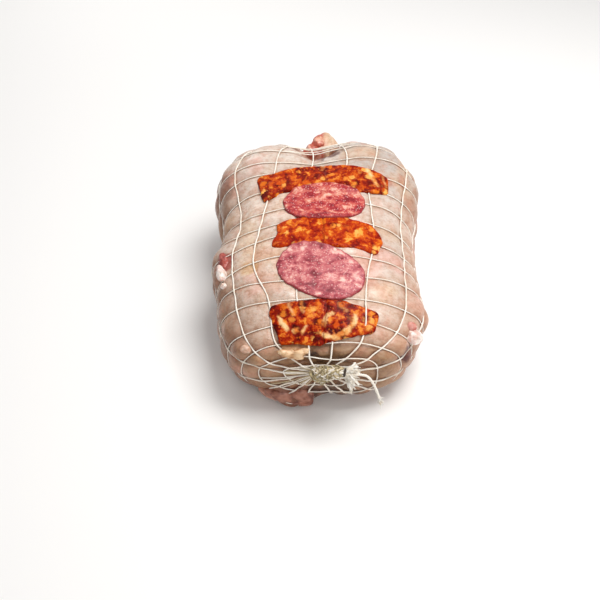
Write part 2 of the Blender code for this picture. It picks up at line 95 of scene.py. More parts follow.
def unit(vectors: Array) -> Array:
    """Vectors of length one."""
    return vectors / (np.linalg.norm(vectors, axis=-1, keepdims=True) + 1e-12)


def swing(centre: Array, side: Array, over: Array, angle: Array, reach: Array) -> Array:
    """Points at a reach from a middle line, and at an angle round it from one side towards another."""
    return centre + (np.cos(angle) * reach)[..., None] * side + (np.sin(angle) * reach)[..., None] * over


def noise(points: Array, size: float, seed: int) -> Array:
    """Smooth noise from -1 to 1 at points.

    Args:
        points: Places, with three values in the last axis.
        size: Distance between the noise's own values.
        seed: Picks another pattern.

    Returns:
        One value a point.
    """
    scaled = np.asarray(points) / size + 1000.0 + 17.31 * seed
    cell = np.floor(scaled).astype(np.int64)
    share = scaled - cell
    share = share * share * (3 - 2 * share)
    total = np.zeros(scaled.shape[:-1])
    for corner in range(8):
        offset = np.array([corner & 1, corner >> 1 & 1, corner >> 2 & 1])
        x, y, z = np.moveaxis(cell + offset, -1, 0)
        mixed = (x * 73856093) ^ (y * 19349663) ^ (z * 83492791) ^ (seed * 2654435761)
        mixed = (mixed ^ (mixed >> 13)) * 1274126177 & 0xFFFFFFFF
        value = ((mixed ^ (mixed >> 16)) & 0xFFFF) / 32767.5 - 1
        weight = np.prod(np.where(offset == 1, share, 1 - share), axis=-1)
        total += value * weight
    return total


def layered_noise(points: Array, size: float, seed: int, layers: int = 3) -> Array:
    """Noise at falling sizes, each half as strong as the last."""
    return sum(noise(points, size / 2**layer, seed + layer) / 2**layer for layer in range(layers))


def curved_path(corners: Sequence, count: int, closed: bool = False) -> Array:
    """Points, evenly counted, on a smooth curve through corners, which may run round to its start."""
    corners = np.array(corners, float)
    if closed:
        held = np.vstack([corners[-1:], corners, corners[:2]])
        places = np.arange(count) * len(corners) / count
    else:
        held = np.vstack([2 * corners[0] - corners[1], corners, 2 * corners[-1] - corners[-2]])
        places = np.linspace(0, len(corners) - 1, count)
    start = np.minimum(places.astype(int), len(held) - 4)
    share = (places - start)[:, None]
    a, b, c, d = (held[start + step] for step in range(4))
    bend, turn = 2 * a - 5 * b + 4 * c - d, 3 * b - a - 3 * c + d
    return 0.5 * (2 * b + (c - a) * share + bend * share**2 + turn * share**3)


def distance_to_line(points: Array, line: Array) -> Array:
    """Shortest distance from each point to a line of points, in as many dimensions as they have."""
    best = np.full(points.shape[:-1], np.inf)
    for start, end in zip(line[:-1], line[1:]):
        way = end - start
        share = np.clip((points - start) @ way / max(way @ way, 1e-12), 0, 1)
        best = np.minimum(best, np.linalg.norm(points - start - share[..., None] * way, axis=-1))
    return best


def depth_inside(points: Array, outline: Array) -> Array:
    """How far plan points are inside a closed outline, negative outside."""
    closed = np.vstack([outline, outline[:1]])
    near = distance_to_line(points, closed)
    inside = np.zeros(points.shape[:-1], bool)
    for (x1, y1), (x2, y2) in zip(closed[:-1], closed[1:]):
        if y1 == y2:
            continue
        crosses = (y1 > points[..., 1]) != (y2 > points[..., 1])
        inside ^= crosses & (points[..., 0] < (x2 - x1) * (points[..., 1] - y1) / (y2 - y1) + x1)
    return np.where(inside, near, -near)


# ---- The wrapped outline, as the solids have it


@dataclass(frozen=True)
class Swelling:
    """A round swelling of the flesh: where along it, which way round, how high and how far it spreads."""

    where: float
    facing: float
    height: float
    spread: float
    spread_degrees: float


@dataclass(frozen=True)
class Furrow:
    """A hollow or crease in the flesh, from start to end, with its radius and depth."""

    start: Place
    end: Place
    radius: float
    depth: float


SWELLINGS = (
    Swelling(71 * MM, 156, 20 * MM, 42 * MM, 36),
    Swelling(88 * MM, 130, 9 * MM, 34 * MM, 26),
    Swelling(62 * MM, 24, 18 * MM, 46 * MM, 34),
    Swelling(90 * MM, 46, 14 * MM, 40 * MM, 28),
    Swelling(-24 * MM, 163, 10 * MM, 24 * MM, 15),
    Swelling(-78 * MM, 8, 5 * MM, 20 * MM, 14),
)
LOBES = (
    (-23 * MM, 5 * MM, 21 * MM, 10 * MM, 19 * MM),
    (32 * MM, 18 * MM, 34 * MM, 18 * MM, 5 * MM),
)
FURROWS = (
    Furrow((5 * MM, 100 * MM, 100 * MM), (9 * MM, 128 * MM, 78 * MM), 15 * MM, 13 * MM),
    Furrow((-4 * MM, -132 * MM, 52 * MM), (14 * MM, -132 * MM, 50 * MM), 26 * MM, 5 * MM),
    Furrow((-9 * MM, -128 * MM, 60 * MM), (2 * MM, -130 * MM, 50 * MM), 10 * MM, 7 * MM),
    Furrow((-62 * MM, 58 * MM, 86 * MM), (-86 * MM, 6 * MM, 40 * MM), 6 * MM, 3.5 * MM),
    Furrow((52 * MM, 62 * MM, 92 * MM), (84 * MM, 16 * MM, 56 * MM), 6 * MM, 3.5 * MM),
)
# Strands that are pulled aside: hoop, strand, spread in hoops and in strands, and how far in strands.
STRAND_PULLS = ((6.75, 14, 1.3, 0.55, -0.40), (8, 2, 2.2, 0.6, 0.28))


@dataclass
class WrappedOutline:
    """The surface that the net lies in, and the places of the net on it."""

    body_length: float = 254 * MM
    left_half_width: Place = (85 * MM, 78 * MM, 67 * MM)
    right_half_width: Place = (86 * MM, 82 * MM, 70 * MM)
    crown_height: Place = (76 * MM, 102 * MM, 92 * MM)
    widest_height: float = 42 * MM
    neck_pole_height: float = 50 * MM
    tail_pole_height: float = 50 * MM
    end_radius: float = 85 * MM
    end_bluntness: float = 3.6
    top_squareness: float = 2.35
    belly_squareness: float = 3.2
    belly_flattening: float = 6 * MM
    base_level: float = 1.5 * MM
    strands: int = 16
    hoops: int = 20
    first_hoop: float = 0.021
    # The wide mesh over the hollow before the tail: where it is, the girth there, its push and its reach.
    opening_way: float = 0.846
    opening_turn: float = 0.038
    opening_girth: float = 462 * MM
    opening_push: float = 11 * MM
    opening_reach: float = 20 * MM
    table_rows: int = 721
    table_turns: int = 1441
    table: Array = field(init=False, repr=False)
    normals: Array = field(init=False, repr=False)
    girths: Array = field(init=False, repr=False)

    def __post_init__(self) -> None:
        """Works out the profile and a fine table of the surface, which sample() reads."""
        turn = np.linspace(-math.pi / 2, math.pi / 2, 4001)
        power = 2 / self.end_bluntness
        along = np.sign(np.sin(turn)) * np.abs(np.sin(turn)) ** power * self.body_length / 2
        share = np.abs(np.cos(turn)) ** power
        way = np.concatenate([[0], np.cumsum(np.hypot(np.diff(along), np.diff(share * self.end_radius)))])
        self.way_length = float(way[-1])
        rows = np.linspace(0, 1, self.table_rows)
        y = np.interp(rows, way / way[-1], along)[:, None]
        size = np.interp(rows, way / way[-1], share)[:, None]
        rings = self._ring(y, size, math.pi / 2 - np.linspace(0, 2 * math.pi, 721)[None])
        steps = np.linalg.norm(np.diff(rings, axis=1), axis=2)
        self.girths = steps.sum(axis=1)
        self.table = np.empty((self.table_rows, self.table_turns, 3))
        turns = np.linspace(0, 1, self.table_turns)
        for row in range(self.table_rows):
            travelled = np.concatenate([[0], np.cumsum(steps[row])])
            for axis in range(3):
                self.table[row, :, axis] = np.interp(turns * travelled[-1], travelled, rings[row, :, axis])
        lengthwise = np.gradient(self.table, axis=0)
        core = self.table[:, :-1]
        around = np.roll(core, -1, axis=1) - np.roll(core, 1, axis=1)
        around = np.concatenate([around, around[:, :1]], axis=1)
        self.normals = unit(np.cross(around, lengthwise))
        self.normals[:4] = unit(self.normals[4, :-1].mean(axis=0))
        self.normals[-4:] = unit(self.normals[-5, :-1].mean(axis=0))

    def _three_way(self, at: Array, values: Place) -> Array:
        """Smooth value at -1..1 through a front, a middle and a back value."""
        front, middle, back = values
        return middle + (back - front) / 2 * at + ((front + back) / 2 - middle) * at**2

    def _ring(self, y: Array, share: Array, angle: Array) -> Array:
        """Points of the rings at y, by angle from +X.

        Args:
            y: Place along the chicken, one a ring.
            share: Each ring's share of its full size.
            angle: Angles round the ring.

        Returns:
            Points, a ring a row.
        """
        at = y / (self.body_length / 2)
        across, up = np.cos(angle), np.sin(angle)
        power = np.where(up > 0, self.top_squareness, self.belly_squareness)
        reach = (np.abs(across) ** power + np.abs(up) ** power) ** (-1 / power)
        left, right = self._three_way(at, self.left_half_width), self._three_way(at, self.right_half_width)
        half_width = np.where(across < 0, left, right)
        crown = self._three_way(at, self.crown_height) - self.widest_height
        half_height = np.where(up > 0, crown, self.widest_height + self.belly_flattening)
        dx = share * half_width * reach * across
        dz = share * half_height * reach * up
        pole = np.where(y < 0, self.neck_pole_height, self.tail_pole_height)
        centre = pole + (self.widest_height - pole) * share**0.8
        direction = np.degrees(np.arctan2(dz, dx))
        swelling = 0 * dx
        for lump in SWELLINGS:
            off = (direction - lump.facing + 180) % 360 - 180
            fall = ((y - lump.where) / lump.spread) ** 2 + (off / lump.spread_degrees) ** 2
            swelling += lump.height * np.exp(-fall)
        grown = 1 + swelling / np.maximum(np.hypot(dx, dz), 20 * MM) * np.clip(1.3 * share, 0, 1)
        x = dx * grown
        z = np.maximum(centre + dz * grown, self.base_level)
        lean = -0.15 * np.clip(-at, 0, 1) ** 2 + 0.10 * np.clip(at, 0, 1) ** 2
        out = 0 * x
        for lobe_x, lobe_z, spread_x, spread_z, reach_out in LOBES:
            out += reach_out * np.exp(-(((x - lobe_x) / spread_x) ** 2) - ((z - lobe_z) / spread_z) ** 2)
        return np.stack([x, y + lean * (z - 45 * MM) - out * smooth_step((-at - 0.5) * 2.5), z], axis=-1)

    def _read(self, table: Array, way: Array, turn: Array) -> Array:
        """Value of a table between its entries."""
        row = np.clip(way, 0, 1) * (self.table_rows - 1)
        column = (turn % 1) * (self.table_turns - 1)
        i = np.minimum(row.astype(int), self.table_rows - 2)
        j = np.minimum(column.astype(int), self.table_turns - 2)
        a, b = (row - i)[..., None], (column - j)[..., None]
        near = table[i, j] * (1 - b) + table[i, j + 1] * b
        far = table[i + 1, j] * (1 - b) + table[i + 1, j + 1] * b
        return near * (1 - a) + far * a

    def sample(self, way: Array, turn: Array) -> tuple[Array, Array]:
        """Points and outward normals of the surface.

        Args:
            way: Share of the way from the neck pole to the tail pole.
            turn: Share of a turn from the crown towards +X.

        Returns:
            Points and unit normals.
        """
        way, turn = np.broadcast_arrays(np.asarray(way, float), np.asarray(turn, float))
        return self._read(self.table, way, turn), unit(self._read(self.normals, way, turn))

    def girth(self, way: Array) -> Array:
        """Length round the surface at a share of the way."""
        return np.interp(way, np.linspace(0, 1, self.table_rows), self.girths)

    def place(self, row: Array, column: Array) -> tuple[Array, Array]:
        """Shares of the way and of a turn at a place on the net, counted in hoops and in strands."""
        row, column = np.broadcast_arrays(np.asarray(row, float), np.asarray(column, float))
        about = 2 * math.pi * (column + 0.5) / self.strands
        waver = 0.10 * (np.sin(2 * about + 1.9 * row) + np.sin(3 * about - 1.3 * row)) * self._inner(row)
        waver = waver + 0.12 * self._at_neck(row) * np.sin(5 * about + 1.7 * row)
        share = column - np.floor(column)
        sideways = self._sideways(row, np.floor(column)) * (1 - share)
        sideways = sideways + self._sideways(row, np.floor(column) + 1) * share
        way = self.first_hoop + self.cell_height() / self.way_length * (row + waver)
        turn = (column + 0.5 + sideways) / self.strands
        turn = turn + 0.7 / self.strands * smooth_step((way - 0.42) / 0.5)
        off_way = (way - self.opening_way) * self.way_length
        off_turn = ((turn - self.opening_turn + 0.5) % 1 - 0.5) * self.opening_girth
        away = np.hypot(off_way, off_turn) + 1e-6
        push = self.opening_push * np.exp(-((away / self.opening_reach) ** 2)) / away
        push = push * np.clip(away / (4 * MM), 0, 1)
        return way + push * off_way / self.way_length, turn + push * off_turn / self.opening_girth

    def _inner(self, row: Array) -> Array:
        """How far a row is from both ends: from none at an end to 1 at three hoops from it."""
        return np.clip(np.minimum(row, self.hoops - 1 - row) / 3, 0, 1)

    def _at_neck(self, row: Array) -> Array:
        """How strongly the net wavers near its gathered end."""
        return np.exp(-(((row - 2) / 1.4) ** 2))

    def _sideways(self, row: Array, strand: Array) -> Array:
        """How far a strand strays from its even place, in strands."""
        strand = strand % self.strands
        strayed = np.sin(0.7 * row + 2.1 * strand) + np.sin(1.1 * row - 1.7 * strand)
        strayed = 0.08 * strayed * self._inner(row)
        strayed = strayed + 0.12 * self._at_neck(row) * np.sin(3.1 * strand + 1.3 * row)
        for at_row, at_strand, rows_spread, strands_spread, pull in STRAND_PULLS:
            off = (strand - at_strand + self.strands / 2) % self.strands - self.strands / 2
            fall = ((row - at_row) / rows_spread) ** 2 + (off / strands_spread) ** 2
            strayed = strayed + pull * np.exp(-fall)
        return strayed

    def cell_height(self) -> float:
        """Distance between hoops."""
        return (1 - 2 * self.first_hoop) / (self.hoops - 1) * self.way_length


def furrow_depth(points: Array) -> Array:
    """How far each point sinks below the wrapped outline, in the hollows and creases."""
    depth = np.zeros(points.shape[:-1])
    for furrow in FURROWS:
        gap = distance_to_line(points, np.array([furrow.start, furrow.end]))
        depth = np.maximum(depth, furrow.depth * np.exp(-((gap / furrow.radius) ** 2)))
    return depth


# ---- Meshes and pieces


class Slot(Enum):
    """Material slots."""

    SKIN = "skin"
    NET = "net"
    SAUSAGE = "cured_sausage"
    SALAMI = "salami"


@dataclass
class MeshParts:
    """Points, faces and UVs of a mesh that is being put together."""

    points: list[Array] = field(default_factory=list)
    faces: Faces = field(default_factory=list)
    uvs: list[Array] = field(default_factory=list)
    count: int = 0

    def add(self, points: Array, faces: Faces, uvs: Array | None = None) -> None:
        """Adds a piece whose faces count from its own first point."""
        start = self.count
        self.points.append(points.reshape(-1, 3))
        self.faces.extend(tuple(start + corner for corner in face) for face in faces)
        if uvs is not None:
            self.uvs.append(uvs.reshape(-1, 2))
        self.count += len(self.points[-1])


def band(near: int, far: int, count: int) -> Faces:
    """Quads between two closed rings of points, each given by its first point."""
    pairs = [(step, (step + 1) % count) for step in range(count)]
    return [(near + step, near + after, far + after, far + step) for step, after in pairs]


def fan(tip: int, ring: int, count: int) -> Faces:
    """Triangles from a tip to a closed ring of points."""
    return [(tip, ring + (step + 1) % count, ring + step) for step in range(count)]


def stack(rings: int, count: int, first: int = 0) -> Faces:
    """Quads between closed rings of points that follow one another."""
    starts = [first + ring * count for ring in range(rings)]
    return [face for near, far in zip(starts[:-1], starts[1:]) for face in band(near, far, count)]


def ball_faces(rings: int, count: int) -> Faces:
    """Faces of closed rings whose two tips come after them."""
    tip = rings * count
    return stack(rings, count) + fan(tip, 0, count) + fan(tip + 1, tip - count, count)


def build_mesh(
    name: str, parts: MeshParts,
    colours: dict[str, Array] | None = None, values: dict[str, Array] | None = None,
) -> bpy.types.Object:
    """Smooth mesh object at the origin, with its layout moved onto the frame.

    Args:
        name: The object's name.
        parts: Points, faces and UVs.
        colours: Colour attributes by name, three values a point.
        values: Number attributes by name.

    Returns:
        The linked object.
    """
    points = np.vstack(parts.points) - BASE_CENTRE
    mesh = bpy.data.meshes.new(name)
    mesh.from_pydata(points.tolist(), [], parts.faces)
    if parts.uvs:
        corners = np.empty(len(mesh.loops), dtype=np.int32)
        mesh.loops.foreach_get("vertex_index", corners)
        mesh.uv_layers.new(name="lay").data.foreach_set("uv", np.vstack(parts.uvs)[corners].ravel())
    for key, value in (colours or {}).items():
        filled = np.concatenate([value.reshape(-1, 3), np.ones((len(points), 1))], axis=1)
        mesh.attributes.new(key, "FLOAT_COLOR", "POINT").data.foreach_set("color", filled.ravel())
    for key, value in (values or {}).items():
        mesh.attributes.new(key, "FLOAT", "POINT").data.foreach_set("value", np.asarray(value, float).ravel())
    work = bmesh.new()
    work.from_mesh(mesh)
    bmesh.ops.recalc_face_normals(work, faces=work.faces)
    work.to_mesh(mesh)
    work.free()
    mesh.shade_smooth()
    return link(bpy.data.objects.new(name, mesh))


def link(made: bpy.types.Object) -> bpy.types.Object:
    """Puts an object in the scene."""
    bpy.context.scene.collection.objects.link(made)
    return made


def dress(piece: bpy.types.Object, material: bpy.types.Material, node: str) -> None:
    """Gives a piece its material and its body, and hides the solid that it stands for."""
    piece.data.materials.clear()
    piece.data.materials.append(material)
    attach(piece, BODY)
    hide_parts(node)


def tube(
    path: Array, ups: Array | tuple, radii: Array | float, twist: float = 2.4 * MM, sides: int = 8,
    closed: bool = False,
) -> Tube:
    """Twisted yarn along a path.

    Args:
        path: Points of its middle line.
        ups: A direction across the path, one for all points or one for each.
        radii: Its radius, one for all points or one for each.
        twist: Length of one turn of its two plies.
        sides: Points round it.
        closed: Whether it runs round to its start.

    Returns:
        Points, faces and UVs (metres along it, and a share of a turn).
    """
    ahead = np.roll(path, -1, axis=0) - np.roll(path, 1, axis=0) if closed else np.gradient(path, axis=0)
    ahead = unit(ahead)
    side = unit(np.cross(ahead, ups))
    over = np.cross(side, ahead)
    along = np.concatenate([[0], np.cumsum(np.linalg.norm(np.diff(path, axis=0), axis=1))])
    angle = 2 * math.pi * np.arange(sides)[None] / sides
    plied = 1 + PLY_DEPTH * np.cos(2 * (angle - 2 * math.pi * along[:, None] / twist))
    reach = np.broadcast_to(radii, len(path))[:, None] * plied
    points = swing(path[:, None], side[:, None], over[:, None], angle, reach)
    last = (len(path) - 1) * sides
    ends = band(last, 0, sides) if closed else [tuple(range(sides)), tuple(range(last, last + sides))]
    uvs = np.stack(np.broadcast_arrays(along[:, None], np.arange(sides)[None] / sides), axis=-1)
    return points, stack(len(path), sides) + ends, uvs


# ---- Shader and Geometry Nodes helpers

# Settings that come back: a mix of two colours, and a range with soft ends.
COLOUR = {"out": 2, "data_type": "RGBA"}
EASED = {"interpolation_type": "SMOOTHSTEP"}
SOCKETS = {float: "NodeSocketFloat", int: "NodeSocketInt"}


def add(
    tree: bpy.types.NodeTree,
    kind: str,
    inputs: dict[int | str, object] | None = None,
    out: int | str | None = 0,
    stops: Sequence[tuple[float, str]] = (),
    **settings: object,
) -> bpy.types.NodeSocket | bpy.types.Node:
    """Adds a node with its settings, values and links.

    Args:
        tree: Where the node goes.
        kind: The node's type, where a ShaderNode is named without that word.
        inputs: Sockets to link and values or hex codes to set, by input name or number.
        out: Name or number of the output that is returned, or None for the whole node.
        stops: Positions and hex codes of a colour ramp.
        settings: The node's own properties.

    Returns:
        The output socket or the node.
    """
    made = tree.nodes.new(kind if kind.startswith(("Geometry", "Function")) else f"ShaderNode{kind}")
    for key, value in settings.items():
        setattr(made, key, value)
    for key, value in (inputs or {}).items():
        socket = made.inputs[key]
        if isinstance(value, bpy.types.NodeSocket):
            tree.links.new(value, socket)
        else:
            socket.default_value = srgb(value) if isinstance(value, str) and socket.type == "RGBA" else value
    if stops:
        elements = made.color_ramp.elements
        while len(elements) < len(stops):
            elements.new(0.5)
        for element, (position, code) in zip(elements, stops):
            element.position = position
            element.color = srgb(code)
    return made if out is None else made.outputs[out]


def start_material(
    name: str, **constants: object
) -> tuple[bpy.types.Material, bpy.types.NodeTree, bpy.types.Node]:
    """Starts a material.

    Args:
        name: The material's name.
        constants: Values of the Principled shader's own sockets, with _ for a space.

    Returns:
        The material, its tree and its Principled node.
    """
    material = bpy.data.materials.new(name)
    material.use_nodes = True
    tree = material.node_tree
    tree.nodes.clear()
    values = {key.replace("_", " "): value for key, value in constants.items()}
    shader = add(tree, "BsdfPrincipled", values, out=None)
    add(tree, "OutputMaterial", {"Surface": shader.outputs[0]}, out=None)
    return material, tree, shader


def end_material(
    tree: bpy.types.NodeTree, shader: bpy.types.Node, colour: bpy.types.NodeSocket,
    heights: Sequence[tuple[bpy.types.NodeSocket, float]],
) -> None:
    """Links a colour, and adds up heights, each a socket and its size in metres, as the shader's bump."""
    tree.links.new(colour, shader.inputs["Base Color"])
    total = None
    for value, size in heights:
        inputs = {0: value, 1: size} if total is None else {0: value, 1: size, 2: total}
        total = add(tree, "Math", inputs, operation="MULTIPLY" if total is None else "MULTIPLY_ADD")
    bump = add(tree, "Bump", {"Height": total, "Distance": 1.0, "Strength": 1.0})
    tree.links.new(bump, shader.inputs["Normal"])


def warp_place(
    tree: bpy.types.NodeTree, place: bpy.types.NodeSocket, size: float, amount: float
) -> bpy.types.NodeSocket:
    """Pushes a place about by noise of a size, so that a pattern loses its straight edges."""
    shove = add(tree, "TexNoise", {"Vector": place, "Scale": 1 / size, "Detail": 3.0}, out="Color")
    centred = add(tree, "VectorMath", {0: shove, 1: (0.5, 0.5, 0.5)}, operation="SUBTRACT")
    scaled = add(tree, "VectorMath", {0: centred, "Scale": amount}, operation="SCALE")
    return add(tree, "VectorMath", {0: place, 1: scaled}, operation="ADD")


def start_tree(name: str, values: dict[str, float]) -> tuple[bpy.types.NodeTree, bpy.types.NodeOutputs]:
    """Starts a Geometry Nodes tree with named inputs, and gives it and what goes into it."""
    tree = bpy.data.node_groups.new(name, "GeometryNodeTree")
    for side in ("INPUT", "OUTPUT"):
        tree.interface.new_socket("Geometry", in_out=side, socket_type="NodeSocketGeometry")
    for label, value in values.items():
        tree.interface.new_socket(label, in_out="INPUT", socket_type=SOCKETS[type(value)])
    return tree, tree.nodes.new("NodeGroupInput").outputs


def run_tree(
    piece: bpy.types.Object, tree: bpy.types.NodeTree, made: bpy.types.NodeSocket,
    material: bpy.types.Material, values: dict[str, float],
) -> None:
    """Ends a tree, runs it on a piece and keeps the result as the piece's plain mesh.

    Args:
        piece: What the tree works on.
        tree: The tree.
        made: The socket with what it makes, whose instances become real and smooth.
        material: What it is made of.
        values: Values of its inputs by name.
    """
    real = add(tree, "GeometryNodeRealizeInstances", {0: made})
    smooth = add(tree, "GeometryNodeSetShadeSmooth", {0: real})
    dressed = add(tree, "GeometryNodeSetMaterial", {0: smooth, "Material": material})
    tree.links.new(dressed, tree.nodes.new("NodeGroupOutput").inputs[0])
    modifier = piece.modifiers.new("Make", "NODES")
    modifier.node_group = tree
    for socket in tree.interface.items_tree:
        if socket.name in values:
            modifier[socket.identifier] = values[socket.name]
    bpy.context.view_layer.update()
    plain = bpy.data.meshes.new_from_object(piece.evaluated_get(bpy.context.evaluated_depsgraph_get()))
    piece.modifiers.remove(modifier)
    piece.data = plain


# ---- Finishes


@dataclass(frozen=True)
class RawSkin:
    """Raw poultry skin, damp and slightly see-through: pale pink over meat, with follicles and fine lines."""

    follicle_spacing: float = 2.8 * MM
    wrinkle_size: float = 0.9 * MM
    fold_size: float = 3.2 * MM
    mottle_size: float = 6 * MM
    blush_size: float = 11 * MM
    speck_size: float = 2.2 * MM

    def build(self) -> bpy.types.Material:
        """Makes the material."""
        material, tree, shader = start_material(
            "Raw poultry skin", Roughness=0.42, IOR=1.4, Subsurface_Weight=0.08, Subsurface_Scale=0.003,
            Subsurface_Radius=(1.0, 0.4, 0.25), Coat_Weight=0.3, Coat_Roughness=0.22,
        )
        place = add(tree, "TexCoord", out="Object")
        tint = add(tree, "Attribute", attribute_name="tint", out="Color")
        warped = warp_place(tree, place, 8 * MM, 3 * MM)
        mottle = add(tree, "TexNoise", {
            "Vector": warped, "Scale": 1 / self.mottle_size, "Detail": 6.0, "Roughness": 0.68,
        })
        shades = ((0.30, "DCC6B8"), (0.44, "F3E9E2"), (0.56, "FFFFFF"))
        shade = add(tree, "ValToRGB", {0: mottle}, stops=shades)
        base = add(tree, "Mix", {0: 1.0, 6: tint, 7: shade}, **COLOUR, blend_type="MULTIPLY")
        blush = add(tree, "TexNoise", {
            "Vector": warped, "Scale": 1 / self.blush_size, "Detail": 5.0, "Roughness": 0.6,
        })
        patchy = add(tree, "MapRange", {0: blush, 1: 0.48, 2: 0.72, 3: 0.0, 4: 0.40}, **EASED)
        blushed = add(tree, "Mix", {0: patchy, 6: base, 7: "CC9078"}, **COLOUR)
        lined = add(tree, "VectorMath", {0: warped, 1: (0.45, 1.5, 0.9)}, operation="MULTIPLY")
        specks = add(tree, "TexNoise", {
            "Vector": lined, "Scale": 1 / self.speck_size, "Detail": 4.0, "Roughness": 0.62,
        })
        shades = ((0.34, "CDB4A4"), (0.47, "F4ECE6"), (0.6, "FFFFFF"))
        speckle = add(tree, "ValToRGB", {0: specks}, stops=shades)
        speckled = add(tree, "Mix", {0: 0.42, 6: blushed, 7: speckle}, **COLOUR, blend_type="MULTIPLY")
        rough = warp_place(tree, place, 4 * MM, 1.6 * MM)
        cells = add(tree, "TexVoronoi", {"Vector": rough, "Scale": 1 / self.follicle_spacing})
        raised = add(tree, "MapRange", {0: cells, 1: 0.05, 2: 0.5, 3: 1.0, 4: 0.0}, **EASED)
        fine = add(tree, "TexNoise", {"Vector": place, "Scale": 1 / self.wrinkle_size, "Detail": 3.0})
        folds = add(tree, "TexNoise", {"Vector": warped, "Scale": 1 / self.fold_size, "Detail": 4.0})
        end_material(tree, shader, speckled, ((raised, 0.12 * MM), (fine, 0.12 * MM), (folds, 0.7 * MM)))
        return material


@dataclass(frozen=True)
class NetYarn:
    """Two-ply elastic butcher's yarn of cotton over rubber: matt, off-white, with a fine twist."""

    colour: str = "FAF2E6"
    shadow: str = "DCC7A6"
    twist: float = 2.4 * MM

    def build(self) -> bpy.types.Material:
        """Makes the material."""
        material, tree, shader = start_material(
            "Elastic cotton yarn", Roughness=0.78, IOR=1.45, Sheen_Weight=0.25,
        )
        place = add(tree, "TexCoord", out="Object")
        lay = add(tree, "SeparateXYZ", {0: add(tree, "UVMap", uv_map="lay")}, out=None).outputs
        slope = add(tree, "Math", {0: lay[0], 1: 1 / self.twist}, operation="MULTIPLY")
        offset = add(tree, "Math", {0: lay[1], 1: slope}, operation="SUBTRACT")
        wave = add(tree, "Math", {0: offset, 1: 4 * math.pi}, operation="MULTIPLY")
        plies = add(tree, "Math", {0: wave}, operation="SINE")
        stain = add(tree, "TexNoise", {"Vector": place, "Scale": 1 / (11 * MM), "Detail": 4.0})
        soiled = add(tree, "MapRange", {0: stain, 1: 0.45, 2: 0.7, 3: 0.0, 4: 0.5})
        base = add(tree, "Mix", {0: soiled, 6: self.colour, 7: self.shadow}, **COLOUR)
        # Painted shade: the groove between the two plies is made darker.
        between = add(tree, "MapRange", {0: plies, 1: -1.0, 2: -0.2, 3: 0.2, 4: 0.0})
        darker = add(tree, "Mix", {0: between, 6: base, 7: "A8906F"}, **COLOUR)
        fuzz = add(tree, "TexNoise", {"Vector": place, "Scale": 1 / (0.35 * MM), "Detail": 2.0})
        end_material(tree, shader, darker, ((plies, 0.05 * MM), (fuzz, 0.12 * MM)))
        return material


@dataclass(frozen=True)
class PlainYarn:
    """Wound or frayed yarn without a UV map: matt and slightly uneven in colour."""

    name: str
    colour: str
    shadow: str

    def build(self) -> bpy.types.Material:
        """Makes the material."""
        material, tree, shader = start_material(self.name, Roughness=0.8, IOR=1.45, Sheen_Weight=0.2)
        place = add(tree, "TexCoord", out="Object")
        stain = add(tree, "TexNoise", {"Vector": place, "Scale": 1 / (3 * MM), "Detail": 4.0})
        soiled = add(tree, "MapRange", {0: stain, 1: 0.4, 2: 0.65})
        base = add(tree, "Mix", {0: soiled, 6: self.colour, 7: self.shadow}, **COLOUR)
        fuzz = add(tree, "TexNoise", {"Vector": place, "Scale": 1 / (0.5 * MM), "Detail": 3.0})
        end_material(tree, shader, base, ((fuzz, 0.2 * MM),))
        return material


